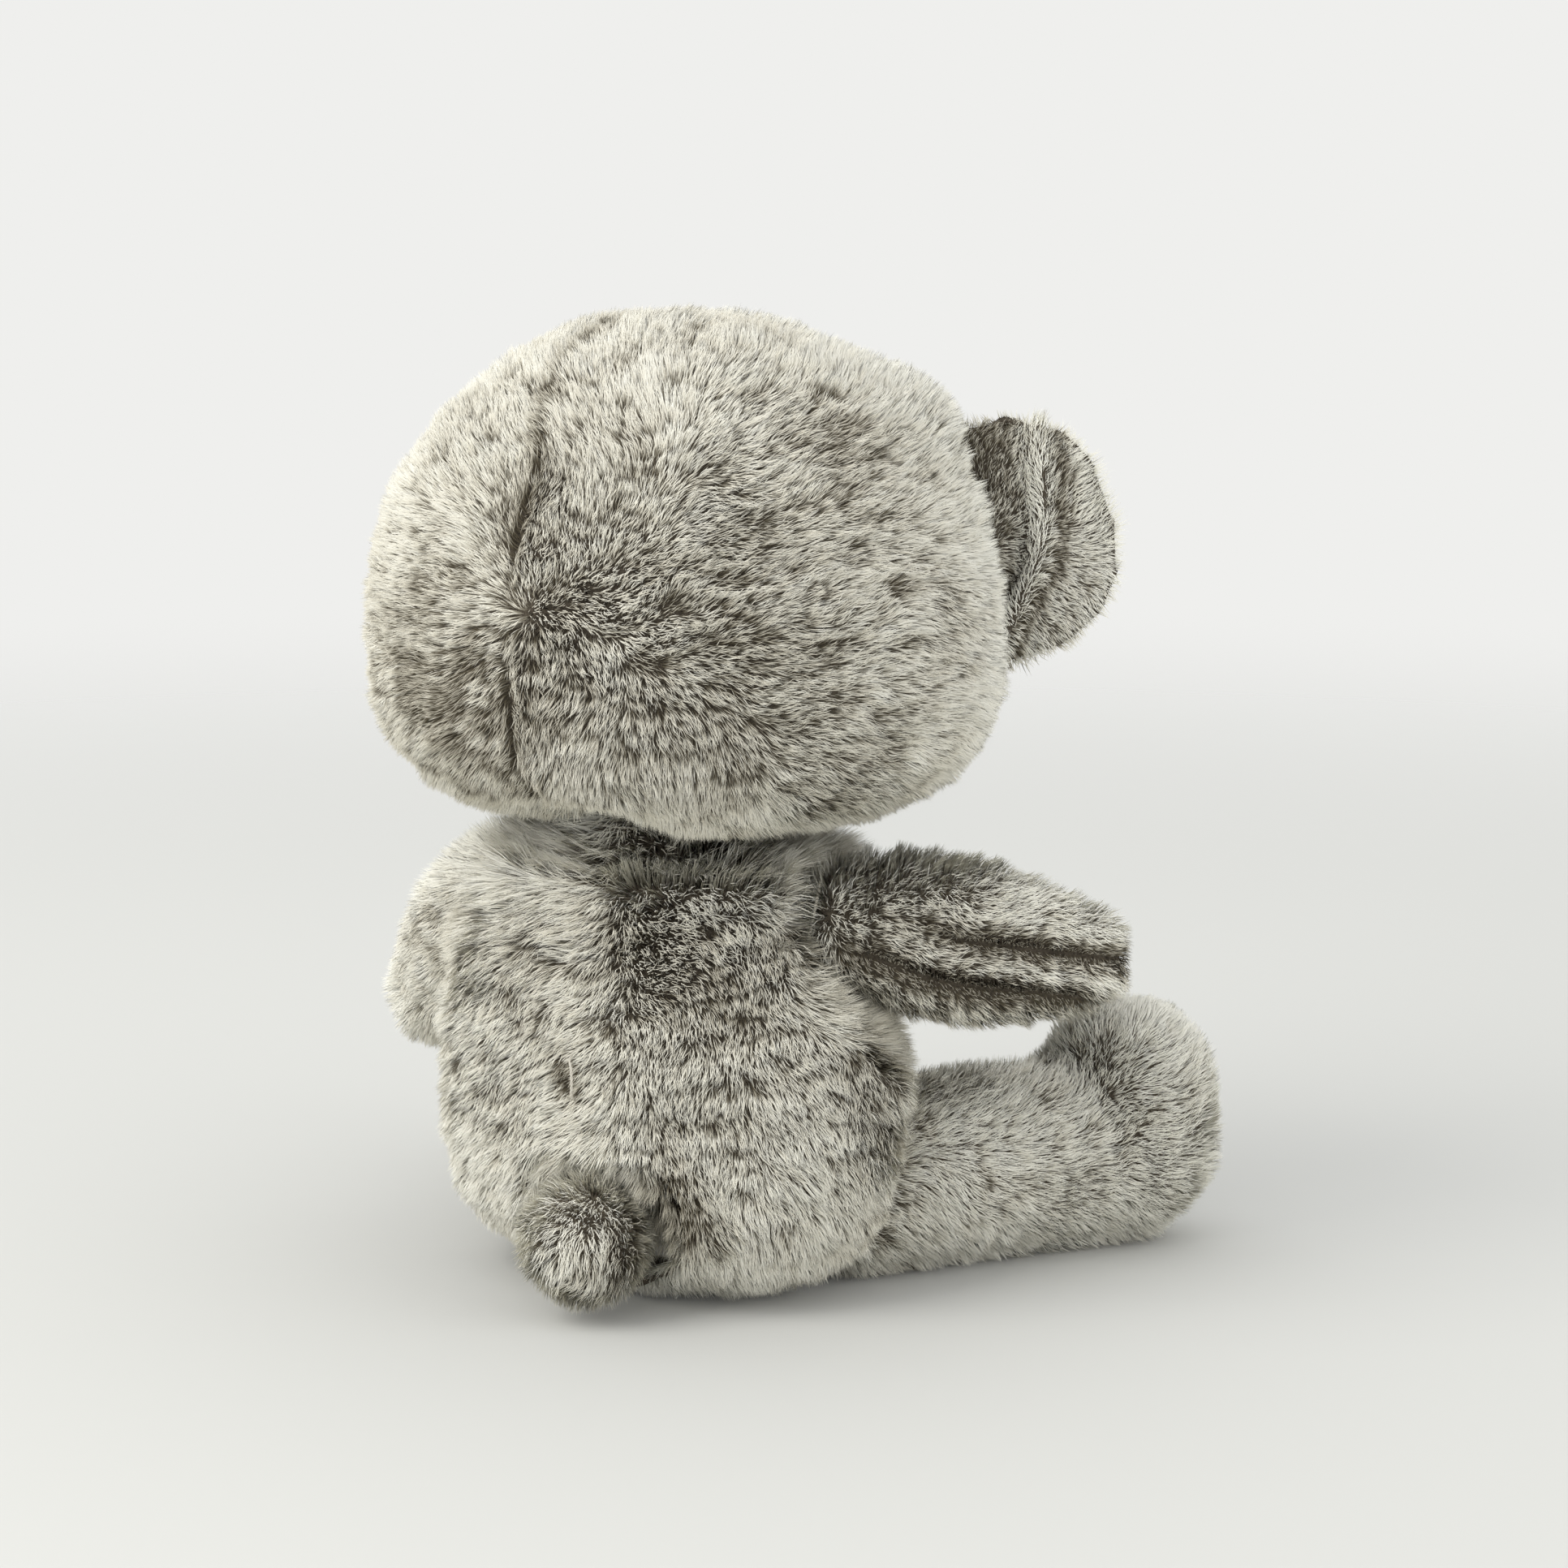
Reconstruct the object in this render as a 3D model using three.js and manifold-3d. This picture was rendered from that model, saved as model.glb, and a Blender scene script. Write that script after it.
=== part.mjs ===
// A seated plush teddy bear, in millimetres. +Z is up and the bear looks along -Y,
// so its own left is +X. The origin is the middle of its seat, on the ground.

import * as THREE from 'three';
import { mergeVertices } from 'three/addons/utils/BufferGeometryUtils.js';
import Module from 'manifold-3d';

const wasm = await Module();
wasm.setup();

// Cloth, thread and fits
const COVER_WALL = 9; // plush cloth with its standing pile
const MUZZLE_WALL = 6; // the same with a shorter pile
const THREAD_THICKNESS = 1;
const PIECE_GAP = 0.3;
const SEAT_FLAT = 0.5; // how deep the soft forms are pressed flat by the ground
const FILLING_MOUTH_RADIUS = 10; // the hole that a limb or the neck is filled through

// Torso
const TORSO_HALF_WIDTH = 92;
const TORSO_HALF_DEPTH = 66;
const TORSO_WIDEST_HEIGHT = 72;
const TORSO_RISE = 115;
const TORSO_SEAT_FULLNESS = 3;
const TORSO_SHOULDER_FULLNESS = 2;
const CLOSING_SLIT_BOTTOM = 52;
const CLOSING_SLIT_LENGTH = 56;
const CLOSING_SLIT_WIDTH = 0.6;
const CLOSING_STITCHES = 7;
const CLOSING_STITCH_HALF_WIDTH = 2.5;

// Pouch of pellets that weights the seat
const POUCH_HALF_WIDTH = 26;
const POUCH_HALF_DEPTH = 16;
const POUCH_HALF_HEIGHT = 13;
const POUCH_SETBACK = 4;
const POUCH_FULLNESS = 2.5;

// Head
const HEAD_HALF_WIDTH = 112;
const HEAD_HALF_DEPTH = 110;
const HEAD_RISE = 111;
const HEAD_FALL = 67;
const HEAD_FORWARD = 8;
const HEAD_CROWN_FULLNESS = 2.1;
const HEAD_JAW_FULLNESS = 2.9;
const FACE_SEAM_FORWARD = 58;

// Neck: a ball on the torso in a hollow of the head
const NECK_HEIGHT = 160;
const NECK_BALL_RADIUS = 38;
const NECK_SEAM_RISE = 4;
const NECK_NOD_DOWN = 8;
const NECK_NOD_UP = 6;

// Muzzle, nose and mouth
const MUZZLE_HALF_WIDTH = 37;
const MUZZLE_HALF_DEPTH = 35;
const MUZZLE_HALF_HEIGHT = 26;
const MUZZLE_DROP = 20;
const MUZZLE_SUNK = 10;
const MUZZLE_FULLNESS = 2;
const NOSE_HALF_WIDTH = 13;
const NOSE_HALF_HEIGHT = 9;
const NOSE_DOME = 8;
const NOSE_LIFT = 26;
const MOUTH_THREAD_THICKNESS = 2;
const MOUTH_HALF_ANGLE = 26;
const MOUTH_LINE_TOP = 2;
const MOUTH_LINE_BOTTOM = -16;
const MOUTH_CORNER_LIFT = 9;

// Eyes, and the shanks and washers that hold eyes and nose
const EYE_RADIUS = 8;
const EYE_DOME = 7;
const EYE_ANGLE = 23;
const EYE_LIFT = 16;
const BUTTON_SUNK = 4;
const SHANK_RADIUS = 2.5;
const SHANK_PAST_WASHER = 4;
const WASHER_RADIUS = 8;
const WASHER_THICKNESS = 1.6;
const WASHER_SEAT = 0.5;

// Ears
const EAR_HALF_HEIGHT = 46;
const EAR_REACH = 54;
const EAR_HALF_THICKNESS = 9;
const EAR_CUP = 11;
const EAR_FULLNESS = 2.7;
const EAR_LIFT = 28;
const EAR_FORWARD_ANGLE = 31;
const EAR_LEAN = 13;
const EAR_ROOT_SUNK = 10;
const EAR_FOLD_FORWARD = 20;
const EAR_FOLD_BACK = 15;

// Arms
const SHOULDER_HEIGHT = 131;
const SHOULDER_FORWARD_ANGLE = 84;
const SHOULDER_SUNK = 9;
const SHOULDER_SEAM_SET = 13;
const ARM_ROOT_RADIUS = 25;
const ARM_TIP_RADIUS = 22;
const ARM_SWELL = 7;
const ARM_SLIMNESS = 0.86;
const ARM_LENGTH = 98;
const ARM_SEAM_GROOVE = 0.12; // share of the arm's radius
const ARM_SEAM_GROOVE_SPREAD = 0.35; // the same, from the seam to where it fades
const RIGHT_ARM_SPLAY = 57;
const LEFT_ARM_SPLAY = 68;
const RIGHT_ARM_DROP = 9;
const LEFT_ARM_DROP = 40;
const ARM_SWING_OUT = 18;
const ARM_SWING_IN = 10;
const RIGHT_ARM_RAISE = 15;
const RIGHT_ARM_LOWER = 20;
const LEFT_ARM_RAISE = 40;
const LEFT_ARM_LOWER = 8;

// Legs
const HIP_FORWARD_ANGLE = 46;
const HIP_SUNK = 16;
const LEG_ROOT_RADIUS = 34;
const LEG_ANKLE_RADIUS = 34;
const LEG_SWELL = 1;
const LEG_SLIMNESS = 0.95;
const LEG_LENGTH = 149;
const LEG_SPLAY = 32;
const LEG_SWING_OUT = 15;
const LEG_SWING_IN = 8;
const LEG_RAISE = 25;
const HIP_SEAM_SET = 20;
const FOOT_HALF_HEIGHT = 45;
const FOOT_HALF_WIDTH = 37;
const FOOT_HALF_THICKNESS = 36;
const FOOT_FULLNESS = 2.2;
const SOLE_SEAM_FORWARD = 16;

// Tail
const TAIL_SUNK = 13;
const TAIL_ROOT_RADIUS = 17;
const TAIL_BALL_RADIUS = 24;
const TAIL_LENGTH = 43;
const TAIL_LIFT = 4; // between the ground and the ball
const TAIL_MOUTH_RADIUS = 6;
const TAIL_SIDE_ANGLE = 4;
const TAIL_WAG = 12;

// Clearances that follow from the thread that lies between a ball and its hollow
const SOCKET_GAP = 2 * PIECE_GAP + THREAD_THICKNESS;

// Facets
const FAR = 1000; // larger than the bear, for cutting planes
const WELD = 1e-4; // points closer than this are one
const ROOM_SIDES = 16;
const ROOM_BACK_STEPS = 5;
const ROOM_SHAFT_STEPS = 3;
const BUTTON_SIDES = 12;
const BUTTON_DOME_STEPS = 4;
const THREAD_SIDES = 4;
const LOOP_STEPS = 30;
const EAR_SHEET_STEPS = 30;
const MOUTH_STEPS = 6;
const skinFacets = { rings: 11, sides: 24 };
const limbFacets = { rings: 6, sides: 16 };
const smallFacets = { rings: 8, sides: 16 };
const innerFacets = { rings: 7, sides: 14 };
const limbInnerFacets = { rings: 4, sides: 10 };

// Materials
const plush = { color: 0xb9b5ab, roughness: 0.95, metalness: 0 };
const paleFur = { color: 0xd6d2c8, roughness: 0.95, metalness: 0 };
const filling = { color: 0xf2f0ea, roughness: 1, metalness: 0 };
const thread = { color: 0x8b867c, roughness: 0.8, metalness: 0 };
const blackThread = { color: 0x2a2624, roughness: 0.7, metalness: 0 };
const pouchCloth = { color: 0xe6e0d2, roughness: 0.9, metalness: 0 };
const glossyPlastic = { color: 0x15110f, roughness: 0.15, metalness: 0 };
const washerPlastic = { color: 0xe9e9e4, roughness: 0.5, metalness: 0 };

const radians = THREE.MathUtils.degToRad;

// Solids and meshes

function toSolid(geometry) {
  const bare = geometry.clone();
  bare.deleteAttribute('normal');
  bare.deleteAttribute('uv');
  const merged = mergeVertices(bare, WELD);
  return new wasm.Manifold(
    new wasm.Mesh({
      numProp: 3,
      vertProperties: new Float32Array(merged.attributes.position.array),
      triVerts: new Uint32Array(merged.index.array),
    }),
  );
}

function toGeometry(solid) {
  const mesh = solid.getMesh();
  const geometry = new THREE.BufferGeometry();
  geometry.setAttribute('position', new THREE.BufferAttribute(mesh.vertProperties, 3));
  geometry.setIndex(new THREE.BufferAttribute(mesh.triVerts, 1));
  geometry.computeVertexNormals();
  return geometry;
}

function addPiece(parent, name, solid, finish) {
  const mesh = new THREE.Mesh(toGeometry(solid), new THREE.MeshStandardMaterial(finish));
  mesh.name = name;
  parent.add(mesh);
}

function addFrame(parent, position, ...turns) {
  const group = new THREE.Group();
  group.position.copy(position);
  turns.forEach(([axis, degrees]) => group[`rotate${axis}`](radians(degrees)));
  parent.add(group);
  parent.updateMatrixWorld(true);
  return group;
}

// A solid drawn in one group's frame, as it lies in another group's frame
function carry(solid, from, to) {
  const matrix = new THREE.Matrix4().copy(to.matrixWorld).invert().multiply(from.matrixWorld);
  return solid.transform(matrix.elements);
}

function cut(solid, ...tools) {
  return tools.reduce((left, tool) => left.subtract(tool), solid);
}

// A block that fills everything below a height
function allBelow(height) {
  const block = new THREE.BoxGeometry(FAR, FAR, FAR);
  return toSolid(block.translate(0, 0, height - FAR / 2));
}

// Evenly spaced values from low to high
function spread(low, high, steps) {
  return Array.from({ length: steps + 1 }, (_, step) => low + ((high - low) * step) / steps);
}

// Soft forms

// Joins rings of points, which run anticlockwise about the way from start to end
function closedForm(start, rings, end) {
  const sides = rings[0].length;
  const points = [start, ...rings.flat(), end];
  const firstOfLast = 1 + (rings.length - 1) * sides;
  const faces = [];
  for (let side = 0; side < sides; side++) {
    const next = (side + 1) % sides;
    faces.push(0, 1 + next, 1 + side);
    for (let ring = 0; ring < rings.length - 1; ring++) {
      const low = 1 + ring * sides;
      const high = low + sides;
      faces.push(low + side, low + next, high + next);
      faces.push(low + side, high + next, high + side);
    }
    faces.push(points.length - 1, firstOfLast + side, firstOfLast + next);
  }
  const geometry = new THREE.BufferGeometry().setFromPoints(points);
  geometry.setIndex(faces);
  return toSolid(geometry);
}

// The share of its width that a round form keeps at a share of its height
function fullness(heightShare, exponent) {
  return (1 - heightShare ** exponent) ** (1 / exponent);
}

// A stuffed round form about its widest level, drawn in by an inset on every side
function roundForm(size, inset, { rings, sides }) {
  const levels = spread(-90, 90, rings).slice(1, -1);
  const outline = levels.map((degrees) => {
    const sine = Math.sin(radians(degrees));
    const reach = (sine > 0 ? size.rise : size.fall) - inset;
    const exponent = sine > 0 ? size.upper : size.lower;
    const height = Math.sign(sine) * reach * Math.abs(sine) ** (2 / exponent);
    const width = Math.cos(radians(degrees)) ** (2 / exponent);
    return spread(0, 360, sides)
      .slice(0, -1)
      .map((turn) => {
        const x = (size.halfWidth - inset) * width * Math.cos(radians(turn));
        const y = (size.halfDepth - inset) * width * Math.sin(radians(turn));
        return new THREE.Vector3(x, y, height);
      });
  });
  const bottom = new THREE.Vector3(0, 0, inset - size.fall);
  const top = new THREE.Vector3(0, 0, size.rise - inset);
  return closedForm(bottom, outline, top);
}

// A point on a round form at a turn from straight ahead (-Y) and a height
function roundPoint(size, turn, height, inset) {
  const reach = (height > 0 ? size.rise : size.fall) - inset;
  const exponent = height > 0 ? size.upper : size.lower;
  const width = fullness(Math.abs(height) / reach, exponent);
  const x = (size.halfWidth - inset) * width * Math.sin(radians(turn));
  const y = -(size.halfDepth - inset) * width * Math.cos(radians(turn));
  return new THREE.Vector3(x, y, height);
}

// A ring across a limb, drawn in along the seams at both sides as its share of the way grows
function limbSection(limb, sides, along, radius, middle, share) {
  const slim = 1 - (1 - limb.slimness) * Math.sin((Math.PI / 2) * share);
  return spread(0, 2 * Math.PI, sides)
    .slice(0, -1)
    .map((turn) => {
      const fromSeam = Math.sin(turn) / ARM_SEAM_GROOVE_SPREAD;
      const groove = 1 - limb.groove * Math.sqrt(share) * Math.exp(-(fromSeam ** 2));
      const y = slim * radius * groove * Math.cos(turn);
      return new THREE.Vector3(along, y, middle + radius * groove * Math.sin(turn));
    });
}

// A stuffed limb along +X: a ball about the origin, a swelling shaft and a round tip
function limbForm(limb, inset, { rings, sides }) {
  const root = limb.root - inset;
  const tip = limb.tip - inset;
  const tipCentre = limb.length - limb.tip;
  const tipMiddle = limb.grounded ? tip - root : 0;
  const ring = (along, radius, middle, share) =>
    limbSection(limb, sides, along, radius, middle, share);
  const capAngles = spread(0, Math.PI / 2, Math.ceil(rings / 2)).slice(1);
  const rootRings = capAngles.map((angle) =>
    ring(-root * Math.cos(angle), root * Math.sin(angle), 0, 0),
  );
  const shaftRings = spread(0, 1, rings)
    .slice(1)
    .map((share) => {
      const radius = root + (tip - root) * share + limb.swell * Math.sin(Math.PI * share);
      return ring(tipCentre * share, radius, limb.grounded ? radius - root : 0, share);
    });
  const tipRings = capAngles
    .slice(0, -1)
    .map((angle) => ring(tipCentre + tip * Math.sin(angle), tip * Math.cos(angle), tipMiddle, 1));
  const start = new THREE.Vector3(-root, 0, 0);
  const end = new THREE.Vector3(tipCentre + tip, 0, tipMiddle);
  return closedForm(start, [...rootRings, ...shaftRings, ...tipRings], end);
}

function ball(radius, { rings, sides }) {
  return toSolid(new THREE.SphereGeometry(radius, sides, rings));
}

// A hollow whose flat facets all lie outside a ball
function hollowBall(radius, { rings, sides }) {
  const inscribed = Math.cos(Math.PI / sides) * Math.cos(Math.PI / (2 * rings));
  return ball(radius / inscribed, { rings, sides });
}

// A round hole along X through a cover's wall, for filling
function wallHole(radius, wallPlace) {
  const hole = new THREE.CylinderGeometry(radius, radius, 4 * COVER_WALL, BUTTON_SIDES);
  return toSolid(hole.rotateZ(radians(90)).translate(wallPlace, 0, 0));
}

// How far a round shaft reaches past its axis at a place along it, when it is swung by an angle
// and leans as well
function swungReach(along, radius, degrees, lean = 0) {
  const angle = radians(degrees);
  if (along < -radius * Math.sin(angle)) return Math.sqrt(radius ** 2 - along ** 2);
  return along * Math.tan(angle) + radius / (Math.cos(angle) * Math.cos(radians(lean)));
}

// Room for a limb in its neighbour while it swings to both sides and moves up and down
function swingRoom(limb, angles) {
  const inscribed = Math.cos(Math.PI / ROOM_SIDES) * Math.cos(Math.PI / (4 * ROOM_BACK_STEPS));
  const stretch = 1 / inscribed;
  const root = (limb.root + limb.gap) * stretch;
  const tipCentre = limb.length - limb.tip;
  const widening = THREE.MathUtils.radToDeg(
    Math.atan2(Math.max(limb.tip - limb.root, 0), tipCentre),
  );
  const section = (along) => {
    const share = Math.min(Math.max(along / tipCentre, 0), 1);
    const radius = root + limb.swell * stretch * Math.sqrt(Math.sin(Math.PI * share));
    const core = along < 0 ? Math.sqrt(radius ** 2 - along ** 2) : radius;
    const shift = (degrees, lean) =>
      swungReach(Math.min(along, tipCentre), radius, degrees + widening, lean) - core;
    return spread(0.5, ROOM_SIDES - 0.5, ROOM_SIDES - 1).map((place) => {
      const turn = (2 * Math.PI * place) / ROOM_SIDES;
      const swing = Math.cos(turn) > 0 ? angles.plus : angles.minus;
      const climb = Math.sin(turn) > 0 ? angles.up : angles.down;
      const y = Math.sign(Math.cos(turn)) * shift(swing, climb);
      const z = Math.sign(Math.sin(turn)) * shift(climb, swing);
      return new THREE.Vector3(along, y + core * Math.cos(turn), z + core * Math.sin(turn));
    });
  };
  const backAngles = spread(0, Math.PI / 2, ROOM_BACK_STEPS).slice(1, -1);
  const back = backAngles.map((angle) => -root * Math.cos(angle));
  const places = [...back, ...spread(0, tipCentre, ROOM_SHAFT_STEPS), limb.length];
  const start = new THREE.Vector3(-root, 0, 0);
  return closedForm(start, places.map(section), new THREE.Vector3(limb.length, 0, 0));
}

// A loop of sewing thread about the Z axis, on a ball's surface at a height above its middle
function threadLoop(ballRadius, height) {
  const fromCentre = ballRadius + PIECE_GAP + THREAD_THICKNESS / 2;
  const loopRadius = Math.sqrt(fromCentre ** 2 - height ** 2);
  const loop = new THREE.TorusGeometry(loopRadius, THREAD_THICKNESS / 2, THREAD_SIDES, LOOP_STEPS);
  return toSolid(loop.translate(0, 0, height));
}

// A thread along points, closed at both ends
function threadAlong(points, thickness, steps) {
  const route = new THREE.CatmullRomCurve3(points);
  const section = new THREE.Shape().absarc(0, 0, thickness / 2, 0, 2 * Math.PI);
  const options = { steps, curveSegments: THREAD_SIDES - 1, bevelEnabled: false, extrudePath: route };
  return toSolid(new THREE.ExtrudeGeometry(section, options));
}

// Sizes of the round forms
const torsoSize = {
  halfWidth: TORSO_HALF_WIDTH,
  halfDepth: TORSO_HALF_DEPTH,
  rise: TORSO_RISE,
  fall: TORSO_WIDEST_HEIGHT + SEAT_FLAT,
  upper: TORSO_SHOULDER_FULLNESS,
  lower: TORSO_SEAT_FULLNESS,
};
const headSize = {
  halfWidth: HEAD_HALF_WIDTH,
  halfDepth: HEAD_HALF_DEPTH,
  rise: HEAD_RISE,
  fall: HEAD_FALL,
  upper: HEAD_CROWN_FULLNESS,
  lower: HEAD_JAW_FULLNESS,
};
const muzzleSize = {
  halfWidth: MUZZLE_HALF_WIDTH,
  halfDepth: MUZZLE_HALF_DEPTH,
  rise: MUZZLE_HALF_HEIGHT,
  fall: MUZZLE_HALF_HEIGHT,
  upper: MUZZLE_FULLNESS,
  lower: MUZZLE_FULLNESS,
};

// Frames: one group for each stuffed part, at the point that it turns about or is widest
const bear = new THREE.Group();
const neckFrame = addFrame(bear, new THREE.Vector3(0, 0, NECK_HEIGHT));
const headFrame = addFrame(bear, new THREE.Vector3(0, -HEAD_FORWARD, NECK_HEIGHT + HEAD_FALL));

function torsoPoint(turn, height, inset) {
  const point = roundPoint(torsoSize, turn, height - TORSO_WIDEST_HEIGHT, inset);
  return point.setZ(height);
}

// Torso

// Room above a cone on the torso's shoulders, for the jaw when the head nods
function headRoom(outset) {
  const slope = Math.max(NECK_NOD_DOWN, NECK_NOD_UP);
  const reach = HEAD_HALF_WIDTH + TORSO_HALF_WIDTH;
  const apex = NECK_HEIGHT - outset / Math.cos(radians(slope));
  const profile = [
    new THREE.Vector2(0, apex),
    new THREE.Vector2(reach, apex - reach * Math.tan(radians(slope))),
    new THREE.Vector2(reach, NECK_HEIGHT + HEAD_RISE),
    new THREE.Vector2(0, NECK_HEIGHT + HEAD_RISE),
  ];
  return lathed(profile, skinFacets.sides);
}

function torsoForm(inset, facets) {
  const lift = new THREE.Matrix4().makeTranslation(0, 0, TORSO_WIDEST_HEIGHT);
  const trunk = roundForm(torsoSize, inset, facets).transform(lift.elements);
  const neckBall = carry(ball(NECK_BALL_RADIUS - inset, facets), neckFrame, bear);
  const solid = cut(trunk, headRoom(SOCKET_GAP + inset)).add(neckBall);
  return cut(solid, allBelow(inset));
}

function closingSlit() {
  const slit = new THREE.BoxGeometry(CLOSING_SLIT_WIDTH, FAR, CLOSING_SLIT_LENGTH);
  return toSolid(slit.translate(0, FAR / 2, CLOSING_SLIT_BOTTOM + CLOSING_SLIT_LENGTH / 2));
}

// Ladder stitch that zigzags over the slit on the back
function closingStitch() {
  const clear = PIECE_GAP + THREAD_THICKNESS / 2;
  const heights = spread(
    CLOSING_SLIT_BOTTOM,
    CLOSING_SLIT_BOTTOM + CLOSING_SLIT_LENGTH,
    CLOSING_STITCHES,
  );
  const points = heights.map((height, index) => {
    const side = index % 2 === 0 ? 1 : -1;
    const point = torsoPoint(180, height, -clear);
    return point.setX(side * CLOSING_STITCH_HALF_WIDTH);
  });
  return threadAlong(points, THREAD_THICKNESS, 2 * CLOSING_STITCHES);
}

function pouch(outset) {
  const size = {
    halfWidth: POUCH_HALF_WIDTH,
    halfDepth: POUCH_HALF_DEPTH,
    rise: POUCH_HALF_HEIGHT,
    fall: POUCH_HALF_HEIGHT,
    upper: POUCH_FULLNESS,
    lower: POUCH_FULLNESS,
  };
  const bottom = COVER_WALL + PIECE_GAP;
  const place = new THREE.Matrix4().makeTranslation(0, POUCH_SETBACK, bottom + POUCH_HALF_HEIGHT);
  const form = roundForm(size, -outset, innerFacets).transform(place.elements);
  return form.intersect(torsoForm(COVER_WALL + PIECE_GAP - outset, innerFacets));
}

function addTorso(rooms) {
  const shell = cut(torsoForm(0, skinFacets), torsoForm(COVER_WALL, innerFacets));
  const upright = addFrame(neckFrame, new THREE.Vector3(), ['Y', -90]);
  const hole = wallHole(FILLING_MOUTH_RADIUS, NECK_BALL_RADIUS);
  const neckMouth = carry(hole, upright, bear);
  const bulk = torsoForm(COVER_WALL + PIECE_GAP, innerFacets);
  const stuffing = cut(bulk, pouch(PIECE_GAP), ...rooms);
  addPiece(bear, 'torso_cover', cut(shell, neckMouth, closingSlit(), ...rooms), plush);
  addPiece(bear, 'torso_stuffing', stuffing, filling);
  addPiece(bear, 'pellet_pouch', pouch(0), pouchCloth);
  addPiece(bear, 'back_closing_stitch', closingStitch(), thread);
  addPiece(neckFrame, 'neck_seam_thread', threadLoop(NECK_BALL_RADIUS, NECK_SEAM_RISE), thread);
}

// Limbs

function limbRoom(limb, frame, side, swingOut, swingIn, up, down) {
  const plus = side > 0 ? swingOut : swingIn;
  const minus = side > 0 ? swingIn : swingOut;
  return carry(swingRoom(limb, { plus, minus, up, down }), frame, bear);
}

function fillingMouth(limb) {
  return wallHole(FILLING_MOUTH_RADIUS, -limb.root);
}

const arm = {
  root: ARM_ROOT_RADIUS,
  tip: ARM_TIP_RADIUS,
  swell: ARM_SWELL,
  slimness: ARM_SLIMNESS,
  length: ARM_LENGTH,
  groove: ARM_SEAM_GROOVE,
  gap: SOCKET_GAP,
  grounded: false,
  outline: (inset, facets) => limbForm(arm, inset, facets),
};

function addArm(side, name, { splay, drop, raise, lower }) {
  const turn = side * SHOULDER_FORWARD_ANGLE;
  const pivot = torsoPoint(turn, SHOULDER_HEIGHT, SHOULDER_SUNK);
  const frame = addFrame(bear, pivot, ['Z', side * splay - 90], ['Y', drop]);
  const seamHeading = side * (splay + (ARM_SWING_OUT - ARM_SWING_IN) / 2) - 90;
  const seamDrop = drop + (lower - raise) / 2;
  const seamFrame = addFrame(bear, pivot, ['Z', seamHeading], ['Y', 90 + seamDrop]);
  const cover = cut(arm.outline(0, limbFacets), arm.outline(COVER_WALL, limbInnerFacets));
  addPiece(frame, `arm_cover_${name}`, cut(cover, fillingMouth(arm)), plush);
  const bulk = arm.outline(COVER_WALL + PIECE_GAP, limbInnerFacets);
  addPiece(frame, `arm_stuffing_${name}`, bulk, filling);
  addPiece(seamFrame, `shoulder_seam_thread_${name}`, threadLoop(arm.root, -SHOULDER_SEAM_SET), thread);
  return limbRoom(arm, frame, side, ARM_SWING_OUT, ARM_SWING_IN, raise, lower);
}

const leg = {
  root: LEG_ROOT_RADIUS,
  tip: LEG_ANKLE_RADIUS,
  swell: LEG_SWELL,
  slimness: LEG_SLIMNESS,
  length: LEG_LENGTH,
  groove: 0,
  gap: SOCKET_GAP,
  grounded: true,
  outline: (inset, facets) => {
    const foot = roundForm(footSize, inset, { rings: facets.rings + 2, sides: facets.sides });
    const ankle = LEG_LENGTH - LEG_ANKLE_RADIUS;
    const place = new THREE.Matrix4();
    place.makeTranslation(ankle, 0, FOOT_HALF_HEIGHT - LEG_ROOT_RADIUS);
    return limbForm(leg, inset, facets).add(foot.transform(place.elements));
  },
};
const footSize = {
  halfWidth: FOOT_HALF_THICKNESS,
  halfDepth: FOOT_HALF_WIDTH,
  rise: FOOT_HALF_HEIGHT,
  fall: FOOT_HALF_HEIGHT,
  upper: FOOT_FULLNESS,
  lower: FOOT_FULLNESS,
};

function addLeg(side, name) {
  const height = LEG_ROOT_RADIUS - SEAT_FLAT;
  const pivot = torsoPoint(side * HIP_FORWARD_ANGLE, height, HIP_SUNK);
  const frame = addFrame(bear, pivot, ['Z', side * LEG_SPLAY - 90]);
  const seamHeading = side * (LEG_SPLAY + (LEG_SWING_OUT - LEG_SWING_IN) / 2) - 90;
  const seamFrame = addFrame(bear, pivot, ['Z', seamHeading], ['Y', 90 - LEG_RAISE / 2]);
  const ground = allBelow(-height);
  const seam = new THREE.BoxGeometry(PIECE_GAP, FAR, FAR);
  seam.translate(LEG_LENGTH - LEG_ANKLE_RADIUS + SOLE_SEAM_FORWARD, 0, 0);
  const hollow = leg.outline(COVER_WALL, limbInnerFacets);
  const shell = cut(leg.outline(0, limbFacets), hollow, ground);
  const [cover, sole] = cut(shell, fillingMouth(leg), toSolid(seam))
    .decompose()
    .sort((one, other) => one.boundingBox().min[0] - other.boundingBox().min[0]);
  addPiece(frame, `leg_cover_${name}`, cover, plush);
  addPiece(frame, `foot_sole_${name}`, sole, plush);
  const bulk = leg.outline(COVER_WALL + PIECE_GAP, limbInnerFacets);
  addPiece(frame, `leg_stuffing_${name}`, bulk, filling);
  addPiece(seamFrame, `hip_seam_thread_${name}`, threadLoop(leg.root, -HIP_SEAM_SET), thread);
  return limbRoom(leg, frame, side, LEG_SWING_OUT, LEG_SWING_IN, LEG_RAISE, 0);
}

const tail = {
  root: TAIL_ROOT_RADIUS,
  tip: TAIL_BALL_RADIUS,
  swell: 0,
  slimness: 1,
  length: TAIL_LENGTH,
  groove: 0,
  gap: PIECE_GAP,
  grounded: false,
  outline: (inset, facets) => limbForm(tail, inset, facets),
};

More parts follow.
